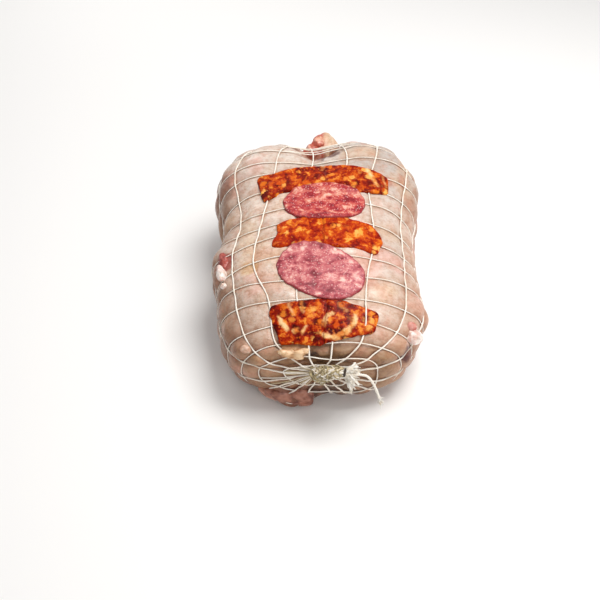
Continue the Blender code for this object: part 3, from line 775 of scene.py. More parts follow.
@dataclass(frozen=True)
class CuredSausage:
    """Oily paprika sausage, sliced lengthways: coarse lumps of orange fat in deep red lean meat."""

    marble_size: float = 8 * MM
    lump_size: float = 6.5 * MM
    crumb_size: float = 3.2 * MM

    def build(self) -> bpy.types.Material:
        """Makes the material."""
        material, tree, shader = start_material(
            "Cured paprika sausage", Roughness=0.38, IOR=1.4, Subsurface_Weight=0.05, Subsurface_Scale=0.002,
            Coat_Weight=0.04, Coat_Roughness=0.1, Specular_IOR_Level=0.1,
        )
        place = add(tree, "TexCoord", out="Object")
        keys = ("tone", "fat", "seam")
        tone, fat, seam = (add(tree, "Attribute", attribute_name=key, out="Fac") for key in keys)
        warped = warp_place(tree, place, 5 * MM, 7 * MM)
        slow = add(tree, "TexNoise", {
            "Vector": warped, "Scale": 1 / self.marble_size, "Detail": 4.0, "Roughness": 0.58,
        })
        dark, light, cream = (add(tree, "ValToRGB", {0: slow}, stops=stops) for stops in (
            ((0.37, "400300"), (0.45, "6C0800"), (0.525, "941800"), (0.59, "BE4204"), (0.66, "E2862E")),
            ((0.36, "760A00"), (0.44, "9C1E00"), (0.515, "B83A04"), (0.58, "D26410"), (0.65, "EAA044")),
            ((0.40, "DC8038"), (0.49, "E8AE68"), (0.60, "EFCF98")),
        ))
        lean = add(tree, "Mix", {0: tone, 6: dark, 7: light}, **COLOUR)
        lumps = add(tree, "TexVoronoi", {"Vector": warped, "Scale": 1 / self.lump_size}, out=None).outputs
        pick = add(tree, "SeparateColor", {0: lumps["Color"]}, out=None).outputs
        chosen = add(tree, "MapRange", {0: pick[0], 1: 0.50, 2: 0.62}, **EASED)
        within = add(tree, "MapRange", {0: lumps["Distance"], 1: 0.56, 2: 0.24}, **EASED)
        lump = add(tree, "Math", {0: chosen, 1: within}, operation="MULTIPLY")
        shades = ((0.1, "C84A08"), (0.5, "E07A1E"), (0.9, "EEAA54"))
        lump_colour = add(tree, "ValToRGB", {0: pick[1]}, stops=shades)
        lumped = add(tree, "Mix", {0: lump, 6: lean, 7: lump_colour}, **COLOUR)
        crumbly = warp_place(tree, place, 3 * MM, 3 * MM)
        crumbs = add(tree, "TexVoronoi", {"Vector": crumbly, "Scale": 1 / self.crumb_size})
        crumb = add(tree, "MapRange", {0: crumbs, 1: 0.34, 2: 0.16, 3: 0.0, 4: 0.55}, **EASED)
        crumbed = add(tree, "Mix", {0: crumb, 6: lumped, 7: "D8681A"}, **COLOUR)
        fatty = add(tree, "Mix", {0: fat, 6: crumbed, 7: cream}, **COLOUR)
        parted = add(tree, "Mix", {0: seam, 6: fatty, 7: "7A1206"}, **COLOUR)
        grain = add(tree, "TexNoise", {"Vector": place, "Scale": 1 / (1.1 * MM), "Detail": 4.0})
        end_material(tree, shader, parted, ((lump, 0.3 * MM), (slow, 1.2 * MM), (grain, 0.45 * MM)))
        return material


@dataclass(frozen=True)
class Salami:
    """Fine-ground salami: rose-pink meat with small white fat grains and a darker rim."""

    marble_size: float = 8 * MM
    grain_size: float = 2.0 * MM

    def build(self) -> bpy.types.Material:
        """Makes the material."""
        material, tree, shader = start_material(
            "Fine-ground salami", Roughness=0.33, IOR=1.4, Subsurface_Weight=0.06, Subsurface_Scale=0.002,
            Coat_Weight=0.08, Coat_Roughness=0.18, Specular_IOR_Level=0.25,
        )
        place = add(tree, "TexCoord", out="Object")
        keys = ("tone", "fat", "rim")
        tone, fat, rim = (add(tree, "Attribute", attribute_name=key, out="Fac") for key in keys)
        flattened = add(tree, "VectorMath", {0: place, 1: (0.85, 1.2, 1.0)}, operation="MULTIPLY")
        warped = warp_place(tree, flattened, 7 * MM, 7 * MM)
        marble = add(tree, "TexNoise", {
            "Vector": warped, "Scale": 1 / self.marble_size, "Detail": 6.0, "Roughness": 0.62,
        })
        mauve, rose = (add(tree, "ValToRGB", {0: marble}, stops=stops) for stops in (
            ((0.37, "823038"), (0.45, "A84A52"), (0.52, "C06668"), (0.58, "D48883"), (0.65, "EDC2B4")),
            ((0.37, "801A24"), (0.45, "A42C32"), (0.52, "BA4642"), (0.58, "CE7260"), (0.66, "E6B09A")),
        ))
        meat = add(tree, "Mix", {0: tone, 6: mauve, 7: rose}, **COLOUR)
        grainy = warp_place(tree, place, 3 * MM, 1.5 * MM)
        cells = add(tree, "TexVoronoi", {"Vector": grainy, "Scale": 1 / self.grain_size})
        grain = add(tree, "MapRange", {0: cells, 1: 0.38, 2: 0.12, 3: 0.0, 4: 0.5}, **EASED)
        coloured = meat
        for share, code in ((grain, "F0C8BE"), (fat, "F2CDBC"), (rim, "8E2F33")):
            coloured = add(tree, "Mix", {0: share, 6: coloured, 7: code}, **COLOUR)
        fine = add(tree, "TexNoise", {"Vector": place, "Scale": 1 / (0.8 * MM), "Detail": 3.0})
        end_material(tree, shader, coloured, ((grain, 0.18 * MM), (marble, 0.8 * MM), (fine, 0.3 * MM)))
        return material


# ---- Skin


@dataclass(frozen=True)
class Patch:
    """A round patch of colour on the skin, at a place in the layout, in millimetres; some patches are painted
    shade.
    """

    where: Place
    radii: Place
    colour: str
    strength: float


PATCHES = (
    Patch((-77, -35, 79), (9, 10, 9), "9C3A2E", 0.9),
    Patch((-56, -50, 87), (9, 7, 9), "D8B27A", 0.6),
    Patch((69, -110, 48), (7, 8, 8), "551A14", 0.95),
    Patch((74, -100, 58), (9, 9, 9), "E6CFC4", 0.7),
    Patch((-18, -125.6, 66.5), (13, 12, 6), "DDAE82", 0.95),
    # Painted shade in the hollow under the gathered neck end: a dark pit and a dull brown band beside it.
    Patch((-4.5, -127.8, 63.5), (6.5, 8, 6.5), "3A2014", 0.95),
    Patch((10, -128.6, 60), (16, 10, 8), "785838", 0.95),
    Patch((64, 41, 102), (5, 6, 8), "B5604A", 0.5),
    Patch((78, 51, 97), (8, 7, 8), "B5604A", 0.45),
    Patch((-20, -124, 16), (34, 16, 12), "7A4632", 0.85),
    Patch((8, -124, 18), (30, 16, 14), "4A3020", 0.75),
    # Painted shade: the tail's cleft and the hollow before the tail are made dark red-brown.
    Patch((11, 99, 93), (16, 12, 14), "5C2A1E", 1.0),
    Patch((9.7, 82, 104), (15, 9, 8), "5E2C20", 0.9),
    Patch((-10, 102, 96), (12, 12, 10), "C98E7A", 0.5),
    Patch((-33, -87.5, 85), (1.2, 1.2, 2), "2C3A22", 1.0),
    # Painted shade on the flanks: the left thigh side and the right back side are made browner and darker.
    Patch((-90, 66, 62), (13, 40, 30), "8A5F48", 0.55),
    Patch((-80, 52, 86), (11, 24, 14), "80543E", 0.65),
    Patch((92, 62, 62), (15, 38, 28), "A47A60", 0.6),
    Patch((86, 28, 78), (10, 24, 14), "AA7E64", 0.65),
    Patch((74, 66, 92), (13, 18, 10), "D9B48E", 0.45),
    Patch((-58, -12, 90), (9, 26, 8), "DDB98C", 0.35),
)


@dataclass
class Skin:
    """The skin between the yarns: it puffs out of each mesh of the net."""

    wrap: WrappedOutline
    material: bpy.types.Material
    rows_a_hoop: int = 12
    columns: int = 384
    past_end: float = 0.40
    end_rows: int = 6
    top_puff: float = 1.4 * MM
    side_puff: float = 3.2 * MM
    yarn_sink: float = 0.6 * MM
    pucker: float = 0.28 * MM
    pucker_length: float = 4 * MM

    def build(self) -> None:
        """Makes the skin."""
        wrap, last = self.wrap, self.wrap.hoops - 1
        beyond = np.linspace(0, self.past_end, self.end_rows + 1)[1:]
        between = np.linspace(0, last, last * self.rows_a_hoop + 1)
        rows = np.concatenate([-beyond[::-1], between, last + beyond])
        columns = np.arange(self.columns) * wrap.strands / self.columns
        way, turn = wrap.place(rows[:, None], columns[None])
        points, normals = wrap.sample(way, turn)
        dome = self._dome(rows)[:, None] * self._dome(columns)[None]
        pitch = wrap.girth(way) / wrap.strands
        roomy = smooth_step(pitch, 5 * MM, 24 * MM)
        upward = smooth_step(normals[..., 2], 0.45, 0.92) * smooth_step(-points[..., 1], -125 * MM, -95 * MM)
        puff = self.side_puff + (self.top_puff - self.side_puff) * upward
        puff = puff * (1 + 0.35 * noise(points, 24 * MM, 3))
        rise = puff * dome * roomy - self.yarn_sink * (1 - dome)
        rise += 0.45 * MM * layered_noise(points, 15 * MM, 5) * (0.4 + 0.6 * dome)
        rise += 0.22 * MM * noise(points, 4.5 * MM, 9)
        rise += self._puckers(rows, columns, pitch) * roomy
        rise -= furrow_depth(points)
        surface = points + rise[..., None] * normals
        surface[..., 2] = np.maximum(surface[..., 2], FLOOR_GAP)
        # The tint is the skin's colour together with its painted light and shade.
        tint = self._tint(points, normals, 1 - dome)
        made, colours = (
            np.vstack([value.reshape(-1, 3), value[0].mean(axis=0), value[-1].mean(axis=0)])
            for value in (surface, tint)
        )
        parts = MeshParts()
        parts.add(made, ball_faces(len(rows), self.columns))
        dress(build_mesh("skin", parts, colours={"tint": colours}), self.material, "chicken")

    def _dome(self, place: Array) -> Array:
        """Share of a full puff at places counted in yarns: none at a yarn, all of it half way between two."""
        off = place - np.floor(place) - 0.5
        return (1 - np.clip(2 * np.abs(off), 0, 1) ** 2) ** 0.6

    def _puckers(self, rows: Array, columns: Array, pitch: Array) -> Array:
        """Small folds that run away from the hoops."""
        off = np.abs(rows - np.round(rows))[:, None] * self.wrap.cell_height()
        across = columns[None] * pitch
        along = rows[:, None] * self.wrap.cell_height() * np.ones_like(across)
        folds = noise(np.stack([across, along * 0.25, 0 * across], axis=-1), 2.6 * MM, 21)
        return self.pucker * folds * np.exp(-((off / self.pucker_length) ** 2))

    def _tint(self, points: Array, normals: Array, groove: Array) -> Array:
        """Colour of the skin, with painted light and shade: pale on top as painted light, browner down the
        sides and darker there as painted shade, painted shade in the grooves, and its own patches, some of them
        painted shade.
        """
        x, y, height = np.moveaxis(points, -1, 0)
        upright = normals[..., 2]
        # The flesh by height, with painted light and shade: a dull side, which is brownest on the left as
        # painted shade, a pale top painted as light where it faces up and to the right, and a low brown edge of
        # painted shade by the floor.
        side = mix(rgb("C4977A"), rgb("966846"), smooth_step(-x, 30 * MM, 80 * MM))
        facing = smooth_step(upright + 0.35 * normals[..., 0], -0.1, 0.65)
        lit = smooth_step(height, 50 * MM, 90 * MM) * facing
        colour = mix(side, rgb("E6D3C7"), lit)
        colour = mix(colour, rgb("7C5038"), smooth_step(-height, -34 * MM, -2 * MM))
        # The neck end is dull, and the thigh tops are painted paler where they face up, as light falling on
        # them.
        colour = mix(colour, rgb("98744F"), 0.82 * smooth_step(-y, 108 * MM, 124 * MM))
        lit_thigh_tops = smooth_step(y, 30 * MM, 75 * MM) * smooth_step(upright, 0.0, 0.7)
        colour = mix(colour, rgb("EEE0D6"), 0.5 * lit_thigh_tops)
        # Painted shade: the back and the right side are made a little darker.
        back = smooth_step(y, 5 * MM, 70 * MM) * (0.75 + 0.25 * np.sign(x))
        right = smooth_step(x, 15 * MM, 55 * MM) * smooth_step(upright, 0.35, 0.9)
        right = right * smooth_step(y, -82 * MM, -48 * MM)
        for share, loss in ((back, (0.22, 0.20, 0.18)), (right, (0.14, 0.13, 0.11))):
            colour = colour * (1 - np.array(loss) * share[..., None])
        colour = colour * np.array([0.93, 0.93, 0.90])
        # Broad blotches of pink meat, yellow fat and, low down, brown: a brown tone, held low as painted shade
        # towards the floor.
        pink = smooth_step(layered_noise(points, 26 * MM, 31), 0.1, 0.9)
        yellow = smooth_step(layered_noise(points, 30 * MM, 37), 0.15, 1.0)
        brown = smooth_step(layered_noise(points, 16 * MM, 41), 0.3, 1.1)
        brown = brown * smooth_step(-height, -85 * MM, -40 * MM)
        for share, code in ((0.45 * pink, "DFA395"), (0.45 * yellow, "DDB890"), (0.55 * brown, "7E5038")):
            colour = mix(colour, rgb(code), share)
        # The grooves under the yarns are in shade, most of all where the skin is steep.
        steep = (1 - smooth_step(upright, 0.5, 0.95))[..., None]
        shaded = colour * (np.array([0.70, 0.54, 0.42]) - np.array([0.14, 0.14, 0.12]) * steep)
        colour = mix(colour, shaded, 0.9 * groove**2.2)
        colour = colour * (1 + 0.04 * np.sin(9 * y / (100 * MM)))[..., None]
        for patch in PATCHES:
            away = np.linalg.norm((points / MM - np.array(patch.where)) / np.array(patch.radii), axis=-1)
            away = away + 0.35 * layered_noise(points, 5 * MM, 47)
            colour = mix(colour, rgb(patch.colour), patch.strength * smooth_step(-away, -1.15, -0.7))
        return colour


# ---- Bits of tail, wing and fat


@dataclass(frozen=True)
class Lump:
    """A lumpy bit of meat, fat or gristle: place and size in millimetres, turn about Z, tilt and colours."""

    name: str
    where: Place
    radii: Place
    turn: float
    tilt: float
    colour: str
    second: str
    uneven: float = 0.16


LUMPS = (
    Lump("left_wing_gristle", (-77.5, -44, 75.5), (4.4, 8.5, 4.2), 8, 4, "F6EFE9", "E6C6BA", 0.24),
    Lump("left_wing_meat", (-75.0, -32, 76.6), (5.4, 9.5, 4.4), 12, 8, "B4564A", "86302A", 0.22),
    Lump("left_wing_bead", (-75, -56, 73), (3.0, 3.0, 2.6), 0, 0, "F4EAE2", "E2C4B6", 0.24),
    Lump("right_wing_gristle", (73.5, -101, 59), (6.4, 7.4, 5.4), 20, 10, "FAF2EC", "E2BCB0", 0.24),
    Lump("right_wing_bead", (72, -96, 64.5), (4.2, 4.0, 3.6), 0, 0, "E0A196", "C97468"),
    Lump("left_nodule", (-56, -114.6, 62), (4.2, 3.6, 3.2), 0, 0, "DABCA6", "C89A80", 0.22),
    Lump("neck_fat", (-18.5, -124.5, 67), (10.5, 3.6, 4.0), 4, 0, "EBCBA2", "B98652", 0.42),
    Lump("neck_meat_flap", (-20, -118, 13.5), (18, 8.5, 9), 3, 0, "AE7662", "6E3C2E", 0.4),
    Lump("neck_meat_side", (-37, -113.5, 14), (11, 8, 7.5), -14, 0, "C79480", "9A6450", 0.4),
    Lump("tail_left_skin", (0, 113, 84), (10, 11, 8.5), -20, 20, "B8604E", "DDA48E", 0.34),
    Lump("tail_left_lobe", (5, 120, 90), (6.5, 8, 6), -10, 30, "C4604E", "E8B49C", 0.34),
    Lump("tail_right_skin", (20, 112, 83), (8, 10, 8), 15, 20, "D9B498", "A86E56", 0.34),
)


@dataclass
class Trimmings:
    """The tail and the bits of wing, gristle and fat that show through the net."""

    material: bpy.types.Material
    tail_base: Place = (10 * MM, 96 * MM, 65 * MM)
    tail_tip: Place = (12 * MM, 132 * MM, 93 * MM)
    tail_half_width: float = 10.5 * MM
    tail_half_thickness: float = 7.5 * MM
    rings: int = 40
    around: int = 56

    def build(self) -> None:
        """Makes each bit."""
        ball = self._ball()
        for lump in LUMPS:
            self._lump(lump, ball)
        self._tail(ball)

    def _ball(self) -> Array:
        """Unit ball of closed rings with a point at each end, along Z."""
        tilt = math.pi * (np.arange(self.rings) + 1)[:, None] / (self.rings + 1)
        spin = 2 * math.pi * np.arange(self.around) / self.around
        x, y, z = np.sin(tilt) * np.cos(spin), np.sin(tilt) * np.sin(spin), np.cos(tilt) + 0 * spin
        return np.vstack([np.stack([x, y, z], axis=-1).reshape(-1, 3), UP, -UP])

    def _bit(self, name: str, points: Array, tint: Array) -> None:
        """Makes one bit from the places and colours of the ball's points."""
        parts = MeshParts()
        parts.add(points, ball_faces(self.rings, self.around))
        dress(build_mesh(name, parts, colours={"tint": tint}), self.material, "chicken")

    def _lump(self, lump: Lump, ball: Array) -> None:
        """Makes one lump."""
        radii = np.array(lump.radii) * MM
        rough = 1 + lump.uneven * layered_noise(ball * radii, 1.5 * float(radii.min()), 53, 3)
        tilted = Matrix.Rotation(math.radians(lump.tilt), 3, "X")
        turned = Matrix.Rotation(math.radians(lump.turn), 3, "Z") @ tilted
        points = (ball * radii * rough[:, None]) @ np.array(turned).T + np.array(lump.where) * MM
        share = smooth_step(layered_noise(points, 3.4 * MM, 59), -0.3, 0.7)
        points[:, 2] = np.maximum(points[:, 2], FLOOR_GAP)
        self._bit(lump.name, points, mix(rgb(lump.colour), rgb(lump.second), share))

    def _tail(self, ball: Array) -> None:
        """Makes the tail: three plump lobes that rise from the cleft to a blunt tip."""
        base, tip = np.array(self.tail_base), np.array(self.tail_tip)
        ahead, side = unit(tip - base), np.array([1.0, 0, 0])
        over = unit(np.cross(side, ahead))
        along = (1 - ball[:, 2]) / 2
        wide = self.tail_half_width * (1.65 - 0.80 * along)
        thick = self.tail_half_thickness * (1.45 - 0.50 * along) * (1 + 0.15 * noise(ball, 0.5, 139))
        angle = np.arctan2(ball[:, 1], ball[:, 0])
        lobes = 1 + 0.10 * np.cos(3 * angle + 0.6) + 0.20 * layered_noise(ball, 0.6, 61)
        size = np.hypot(ball[:, 0], ball[:, 1]) ** 0.8 * lobes
        points = base + (along * np.linalg.norm(tip - base))[:, None] * ahead
        points = points + (size * wide * np.cos(angle))[:, None] * side
        points = points + (size * thick * np.sin(angle))[:, None] * over
        share = smooth_step(points[:, 0] / MM + 3 * noise(points, 6 * MM, 67), 6, 14)
        tint = mix(rgb("C26450"), rgb("E0C4A8"), share)
        tint = mix(tint, rgb("E3B084"), 0.6 * smooth_step(layered_noise(points, 9 * MM, 71), 0, 0.9))
        self._bit("tail", points, tint)


# ---- Net

# The gathered neck end from its pole to past its tie: its middle line, and its radii at shares of it, in mm.
GATHER_LINE = (
    (0, 1.5, 0), (-0.5, -3, 0), (0.5, -6, 2), (4, -7.5, 4.5), (10, -8, 6.5), (17, -8.5, 7), (21, -9, 6.5),
)
GATHER_RADII = ((0, 7.5), (0.14, 6.0), (0.3, 5.2), (0.6, 4.6), (0.8, 4.0), (0.88, 2.9), (0.95, 3.6), (1, 3.0))
LOOSE_END_LINE = ((-1, -1, 0), (9, -3, 2), (16, -4, 1), (21, -6, -6), (26, -8, -20))
# The tied tail end: how far out of its pole each point of a yarn is, and how far from the middle, in mm.
TAIL_KNOT = ((3.2, 3.0), (6.2, 1.7), (8.4, 2.2), (10.6, 3.0))


@dataclass
class Net:
    """The elastic net: hoops, strands and their crossings, gathered and tied off at both ends."""

    wrap: WrappedOutline
    yarn: bpy.types.Material
    stained_yarn: bpy.types.Material
    bundle_yarn: bpy.types.Material
    tie_yarn: bpy.types.Material
    frayed_yarn: bpy.types.Material
    lifted: Callable[[Array], Array]
    steps: int = 12
    hoop_radius: float = 0.45 * MM
    strand_radius: float = 0.62 * MM
    knot_radius: float = 0.85 * MM
    knot_squash: float = 0.7
    lift: float = 0.45 * MM
    hoop_weave: float = 0.25 * MM
    strand_weave: float = 0.35 * MM
    knot_rise: float = 0.15 * MM
    gathered_radius: float = 0.45 * MM
    tie_radius: float = 0.55 * MM
    tie_turns: float = 1.7
    loose_end_radius: float = 1.0 * MM
    tail_radius: float = 0.6 * MM
    tail_tie_radius: float = 0.8 * MM
    gathered_yarns: int = 32
    knit_loops: int = 44
    tuft_fibres: int = 60
    tuft_ends: int = 30
    fray_fibres: int = 26
    tail_yarns: int = 14
    # Hoops with a second yarn that strays over the hollow before the tail, and how far it strays, in hoops.
    doubled_hoops: Corners = ((14, 0.42), (15, 0.34), (15, 0.66))

    def build(self) -> None:
        """Makes the net."""
        self._hoops()
        self._strands()
        self._crossings()
        self._gather()
        self._tail_knot()

    def _piece(self, name: str, tubes: Sequence[Tube], material: bpy.types.Material) -> None:
        """Makes a piece of the net from its yarns."""
        parts = MeshParts()
        for made in tubes:
            parts.add(*made)
        dress(build_mesh(name, parts), material, "net")

    def _hoops(self) -> None:
        """Makes the yarns that run round the chicken."""
        wrap, tubes = self.wrap, []
        columns = np.linspace(0, wrap.strands, wrap.strands * self.steps, endpoint=False)
        for hoop in range(wrap.hoops):
            points, normals = wrap.sample(*wrap.place(hoop, columns))
            sag = self.lift - self.hoop_weave * np.cos(2 * math.pi * columns)
            path = points + sag[:, None] * normals
            radii = self.hoop_radius * (1 + 0.10 * noise(path, 6 * MM, 83))
            tubes.append(tube(path, normals, radii, closed=True))
        share = np.linspace(0, 1, 80)
        for hoop, aside in self.doubled_hoops:
            rows = hoop + aside * np.sin(math.pi * share)
            points, normals = wrap.sample(*wrap.place(rows, -1.9 + 4.4 * share))
            tubes.append(tube(points + (self.lift + 0.3 * MM) * normals, normals, 0.9 * self.hoop_radius))
        self._piece("net_hoops", tubes, self.yarn)

    def _strands(self) -> None:
        """Makes the yarns that run along the chicken."""
        wrap, tubes = self.wrap, []
        rows = np.linspace(-0.1, wrap.hoops - 0.9, (wrap.hoops - 1) * self.steps + 3)
        for strand in range(wrap.strands):
            points, normals = wrap.sample(*wrap.place(rows, strand))
            rise = self.lift + self.strand_weave * np.cos(2 * math.pi * rows) + self.lifted(points)
            path = points + rise[:, None] * normals
            radii = self.strand_radius * (1 + 0.12 * noise(path, 7 * MM, 89))
            tubes.append(tube(path, normals, radii, 2.6 * MM))
        self._piece("net_strands", tubes, self.yarn)

    def _crossings(self) -> None:
        """Makes the small knots where strands cross hoops."""
        rows, columns = np.meshgrid(np.arange(self.wrap.hoops), np.arange(self.wrap.strands), indexing="ij")
        points, normals = self.wrap.sample(*self.wrap.place(rows.ravel(), columns.ravel()))
        parts = MeshParts()
        parts.add(points + (self.lift + self.knot_rise) * normals, [])
        piece = build_mesh("net_crossings", parts)
        facing = piece.data.attributes.new("facing", "FLOAT_VECTOR", "POINT")
        facing.data.foreach_set("vector", normals.ravel())
        sizes = {"Knot Radius": self.knot_radius, "Squash": self.knot_squash, "Seed": 4}
        tree, given = start_tree("Crossings", sizes)
        ball = add(tree, "GeometryNodeMeshIcoSphere", {"Radius": given["Knot Radius"], "Subdivisions": 2})
        outward = add(tree, "GeometryNodeInputNamedAttribute", {"Name": "facing"}, data_type="FLOAT_VECTOR")
        rotation = add(tree, "FunctionNodeAlignRotationToVector", {"Vector": outward}, axis="Z")
        spread = add(tree, "FunctionNodeRandomValue", {2: 0.8, 3: 1.25, "Seed": given["Seed"]}, out=1)
        flat = add(tree, "Math", {0: spread, 1: given["Squash"]}, operation="MULTIPLY")
        scale = add(tree, "CombineXYZ", {0: spread, 1: spread, 2: flat})
        placed = add(tree, "GeometryNodeInstanceOnPoints", {
            "Points": given[0], "Instance": ball, "Rotation": rotation, "Scale": scale,
        })
        run_tree(piece, tree, placed, self.frayed_yarn, sizes)
        dress(piece, self.frayed_yarn, "net")

    def _gather(self) -> None:
        """Makes the gathered net at the neck, its tie, its frayed tuft and its loose end."""
        pole, _ = self.wrap.sample(0.0, 0.0)
        line = pole + curved_path(GATHER_LINE, 40) * MM
        share = np.linspace(0, 1, len(line))
        swell = np.interp(share, *zip(*GATHER_RADII)) * MM
        ahead = unit(np.gradient(line, axis=0))
        side = unit(np.cross(ahead, UP))
        over = np.cross(side, ahead)
        core = tube(line, over, swell * 0.86 * (1 + 0.1 * noise(line, 5 * MM, 97)), 30 * MM, 40)
        self._piece("gather_core", [core], self.bundle_yarn)
        stained, plain = [], []
        for number in range(self.gathered_yarns):
            turn = number / self.gathered_yarns + 0.015 * math.sin(5.0 * number)
            pulled = 2.3 * math.exp(-(((turn - 0.73) / 0.16) ** 2)) * (0.8 + 0.2 * math.sin(7.0 * number))
            way, side_way = self.wrap.place(round(pulled), turn * self.wrap.strands - 0.5)
            sideways = turn + (float(side_way) - turn) * np.array([1, 0.7, 0.3, 0])
            start, normal = self.wrap.sample(float(way) * np.array([1, 0.7, 0.42, 0.2]), sideways)
            start = start + normal * self.lift * np.array([1, 1.3, 1.8, 2.6])[:, None]
            wander = layered_noise(line + 0.1 * number, 9 * MM, 131)
            angle = math.pi / 2 - 2 * math.pi * turn + (0.8 + 3.2 * math.sin(2.9 * number)) * share
            angle = angle + 0.9 * wander
            reach = swell * (1.0 + 0.22 * noise(line + 0.1 * number, 5 * MM, 137))
            path = curved_path(np.vstack([start, swing(line, -side, over, angle, reach)[3::4]]), 64)
            (plain if number % 2 else stained).append(tube(path, UP, self.gathered_radius))
        self._piece("gather_yarns", plain, self.yarn)
        self._piece("gather_stained_yarns", stained, self.stained_yarn)
        self._knit(line, side, over, swell)
        self._tie(line[35], ahead[35], side[35], over[35], float(swell[35]))
        self._tuft(line[36], ahead[36], side[36], over[36])
        self._loose_end(line[36])

    def _knit(self, line: Array, side: Array, over: Array, swell: Array) -> None:
        """Makes the tangled meshes of net that bulge from the gathered end."""
        random = np.random.default_rng(23)
        pale, dull = [], []
        for number in range(self.knit_loops):
            middle, spread = random.uniform(8, 30), random.uniform(2.5, 6)
            first = random.uniform(0, 2 * math.pi)
            turn = first + np.linspace(0, random.choice([-1, 1]) * random.uniform(1.2, 3.4), 22)
            places = middle + spread * np.sin(np.linspace(0, random.uniform(2.5, 5.5), 22))
            held = np.clip(places, 0, len(line) - 1.001)
            low, share = held.astype(int), (held % 1)[:, None]
            centre = line[low] * (1 - share) + line[low + 1] * share
            reach = np.interp(held, np.arange(len(line)), swell) * random.uniform(1.0, 1.28)
            reach = reach * (1 + 0.12 * np.sin(3 * turn))
            (dull if number % 6 else pale).append(swing(centre, side[low], over[low], turn, reach))
        self._fibres("gather_knit", pale, 0.40 * MM, 2 * MM, self.frayed_yarn)
        self._fibres("gather_stained_knit", dull, 0.55 * MM, 2 * MM, self.bundle_yarn)

    def _tie(self, centre: Array, ahead: Array, side: Array, over: Array, radius: float) -> None:
        """Makes the dark yarn that is wound round the gathered net."""
        turn = np.linspace(0, self.tie_turns * 2 * math.pi, 160)
        reach = radius + 0.5 * MM + 0.3 * MM * np.sin(1.7 * turn)
        path = swing(centre, side, over, turn, reach) + ((turn / turn[-1] - 0.5) * 1.4 * MM)[:, None] * ahead
        self._piece("gather_tie", [tube(path, ahead, self.tie_radius, 3 * MM)], self.tie_yarn)

    def _fibres(
        self, name: str, paths: Sequence[Array], radius: float, kink: float, material: bpy.types.Material
    ) -> None:
        """Makes loose fibres from lines of points.

        Args:
            name: The piece's name.
            paths: The fibres' middle lines.
            radius: Their radius.
            kink: How far noise pushes them about.
            material: Their material.
        """
        edges, count = [], 0
        for path in paths:
            edges += [(count + step, count + step + 1) for step in range(len(path) - 1)]
            count += len(path)
        mesh = bpy.data.meshes.new(name)
        mesh.from_pydata((np.vstack(paths) - BASE_CENTRE).tolist(), edges, [])
        piece = link(bpy.data.objects.new(name, mesh))
        sizes = {"Fibre Radius": radius, "Kink": kink, "Sides": 6}
        tree, given = start_tree("Fibres", sizes)
        shove = add(tree, "TexNoise", {"Scale": 1 / (4 * MM), "Detail": 2.0}, out="Color")
        centred = add(tree, "VectorMath", {0: shove, 1: (0.5, 0.5, 0.5)}, operation="SUBTRACT")
        offset = add(tree, "VectorMath", {0: centred, "Scale": given["Kink"]}, operation="SCALE")
        kinked = add(tree, "GeometryNodeSetPosition", {0: given[0], "Offset": offset})
        curve = add(tree, "GeometryNodeMeshToCurve", {0: kinked})
        ring = add(tree, "GeometryNodeCurvePrimitiveCircle", {
            "Resolution": given["Sides"], "Radius": given["Fibre Radius"],
        })
        swept = add(tree, "GeometryNodeCurveToMesh", {"Curve": curve, "Profile Curve": ring, "Fill Caps": True})
        run_tree(piece, tree, swept, material, sizes)
        dress(piece, material, "net")

    def _tuft(self, root: Array, ahead: Array, side: Array, over: Array) -> None:
        """Makes the frayed white ends beyond the tie."""
        random = np.random.default_rng(12)
        paths = []
        for _ in range(self.tuft_fibres + self.tuft_ends):
            spin, spread = random.uniform(0, 2 * math.pi), random.uniform(0.1, 1.15) ** 0.8
            out = math.cos(spin) * side + math.sin(spin) * over
            aim = ahead * math.cos(spread) + out * math.sin(spread)
            reach = random.uniform(7, 14) * MM
            share = np.linspace(0, 1, 9)[:, None]
            droop = np.array([0, 0.1, -0.28]) * reach
            paths.append(root + out * random.uniform(0.4, 2.4) * MM + aim * reach * share + droop * share**2)
        self._fibres("gather_tuft", paths[: self.tuft_fibres], 0.30 * MM, 4 * MM, self.frayed_yarn)
        ends = [root + (path - root) * 0.85 for path in paths[self.tuft_fibres :]]
        self._fibres("gather_tuft_ends", ends, 0.85 * MM, 7 * MM, self.frayed_yarn)

    def _loose_end(self, root: Array) -> None:
        """Makes the loose twisted end that hangs from the tie, and its frayed tip."""
        path = root + curved_path(LOOSE_END_LINE, 48) * MM
        radii = self.loose_end_radius * (1 + 0.1 * noise(path, 5 * MM, 101))
        self._piece("loose_end", [tube(path, (0, -1.0, 0), radii, 3.2 * MM, 10)], self.yarn)
        random = np.random.default_rng(5)
        share = np.linspace(0, 1, 6)[:, None]
        paths = []
        for _ in range(self.fray_fibres):
            aim = unit(path[-1] - path[-6]) + random.normal(0, 0.38, 3)
            start = path[-1] + random.normal(0, 0.35, 3) * MM
            paths.append(start + aim * random.uniform(3, 6.5) * MM * share)
        self._fibres("loose_end_fray", paths, 0.22 * MM, 1.6 * MM, self.frayed_yarn)

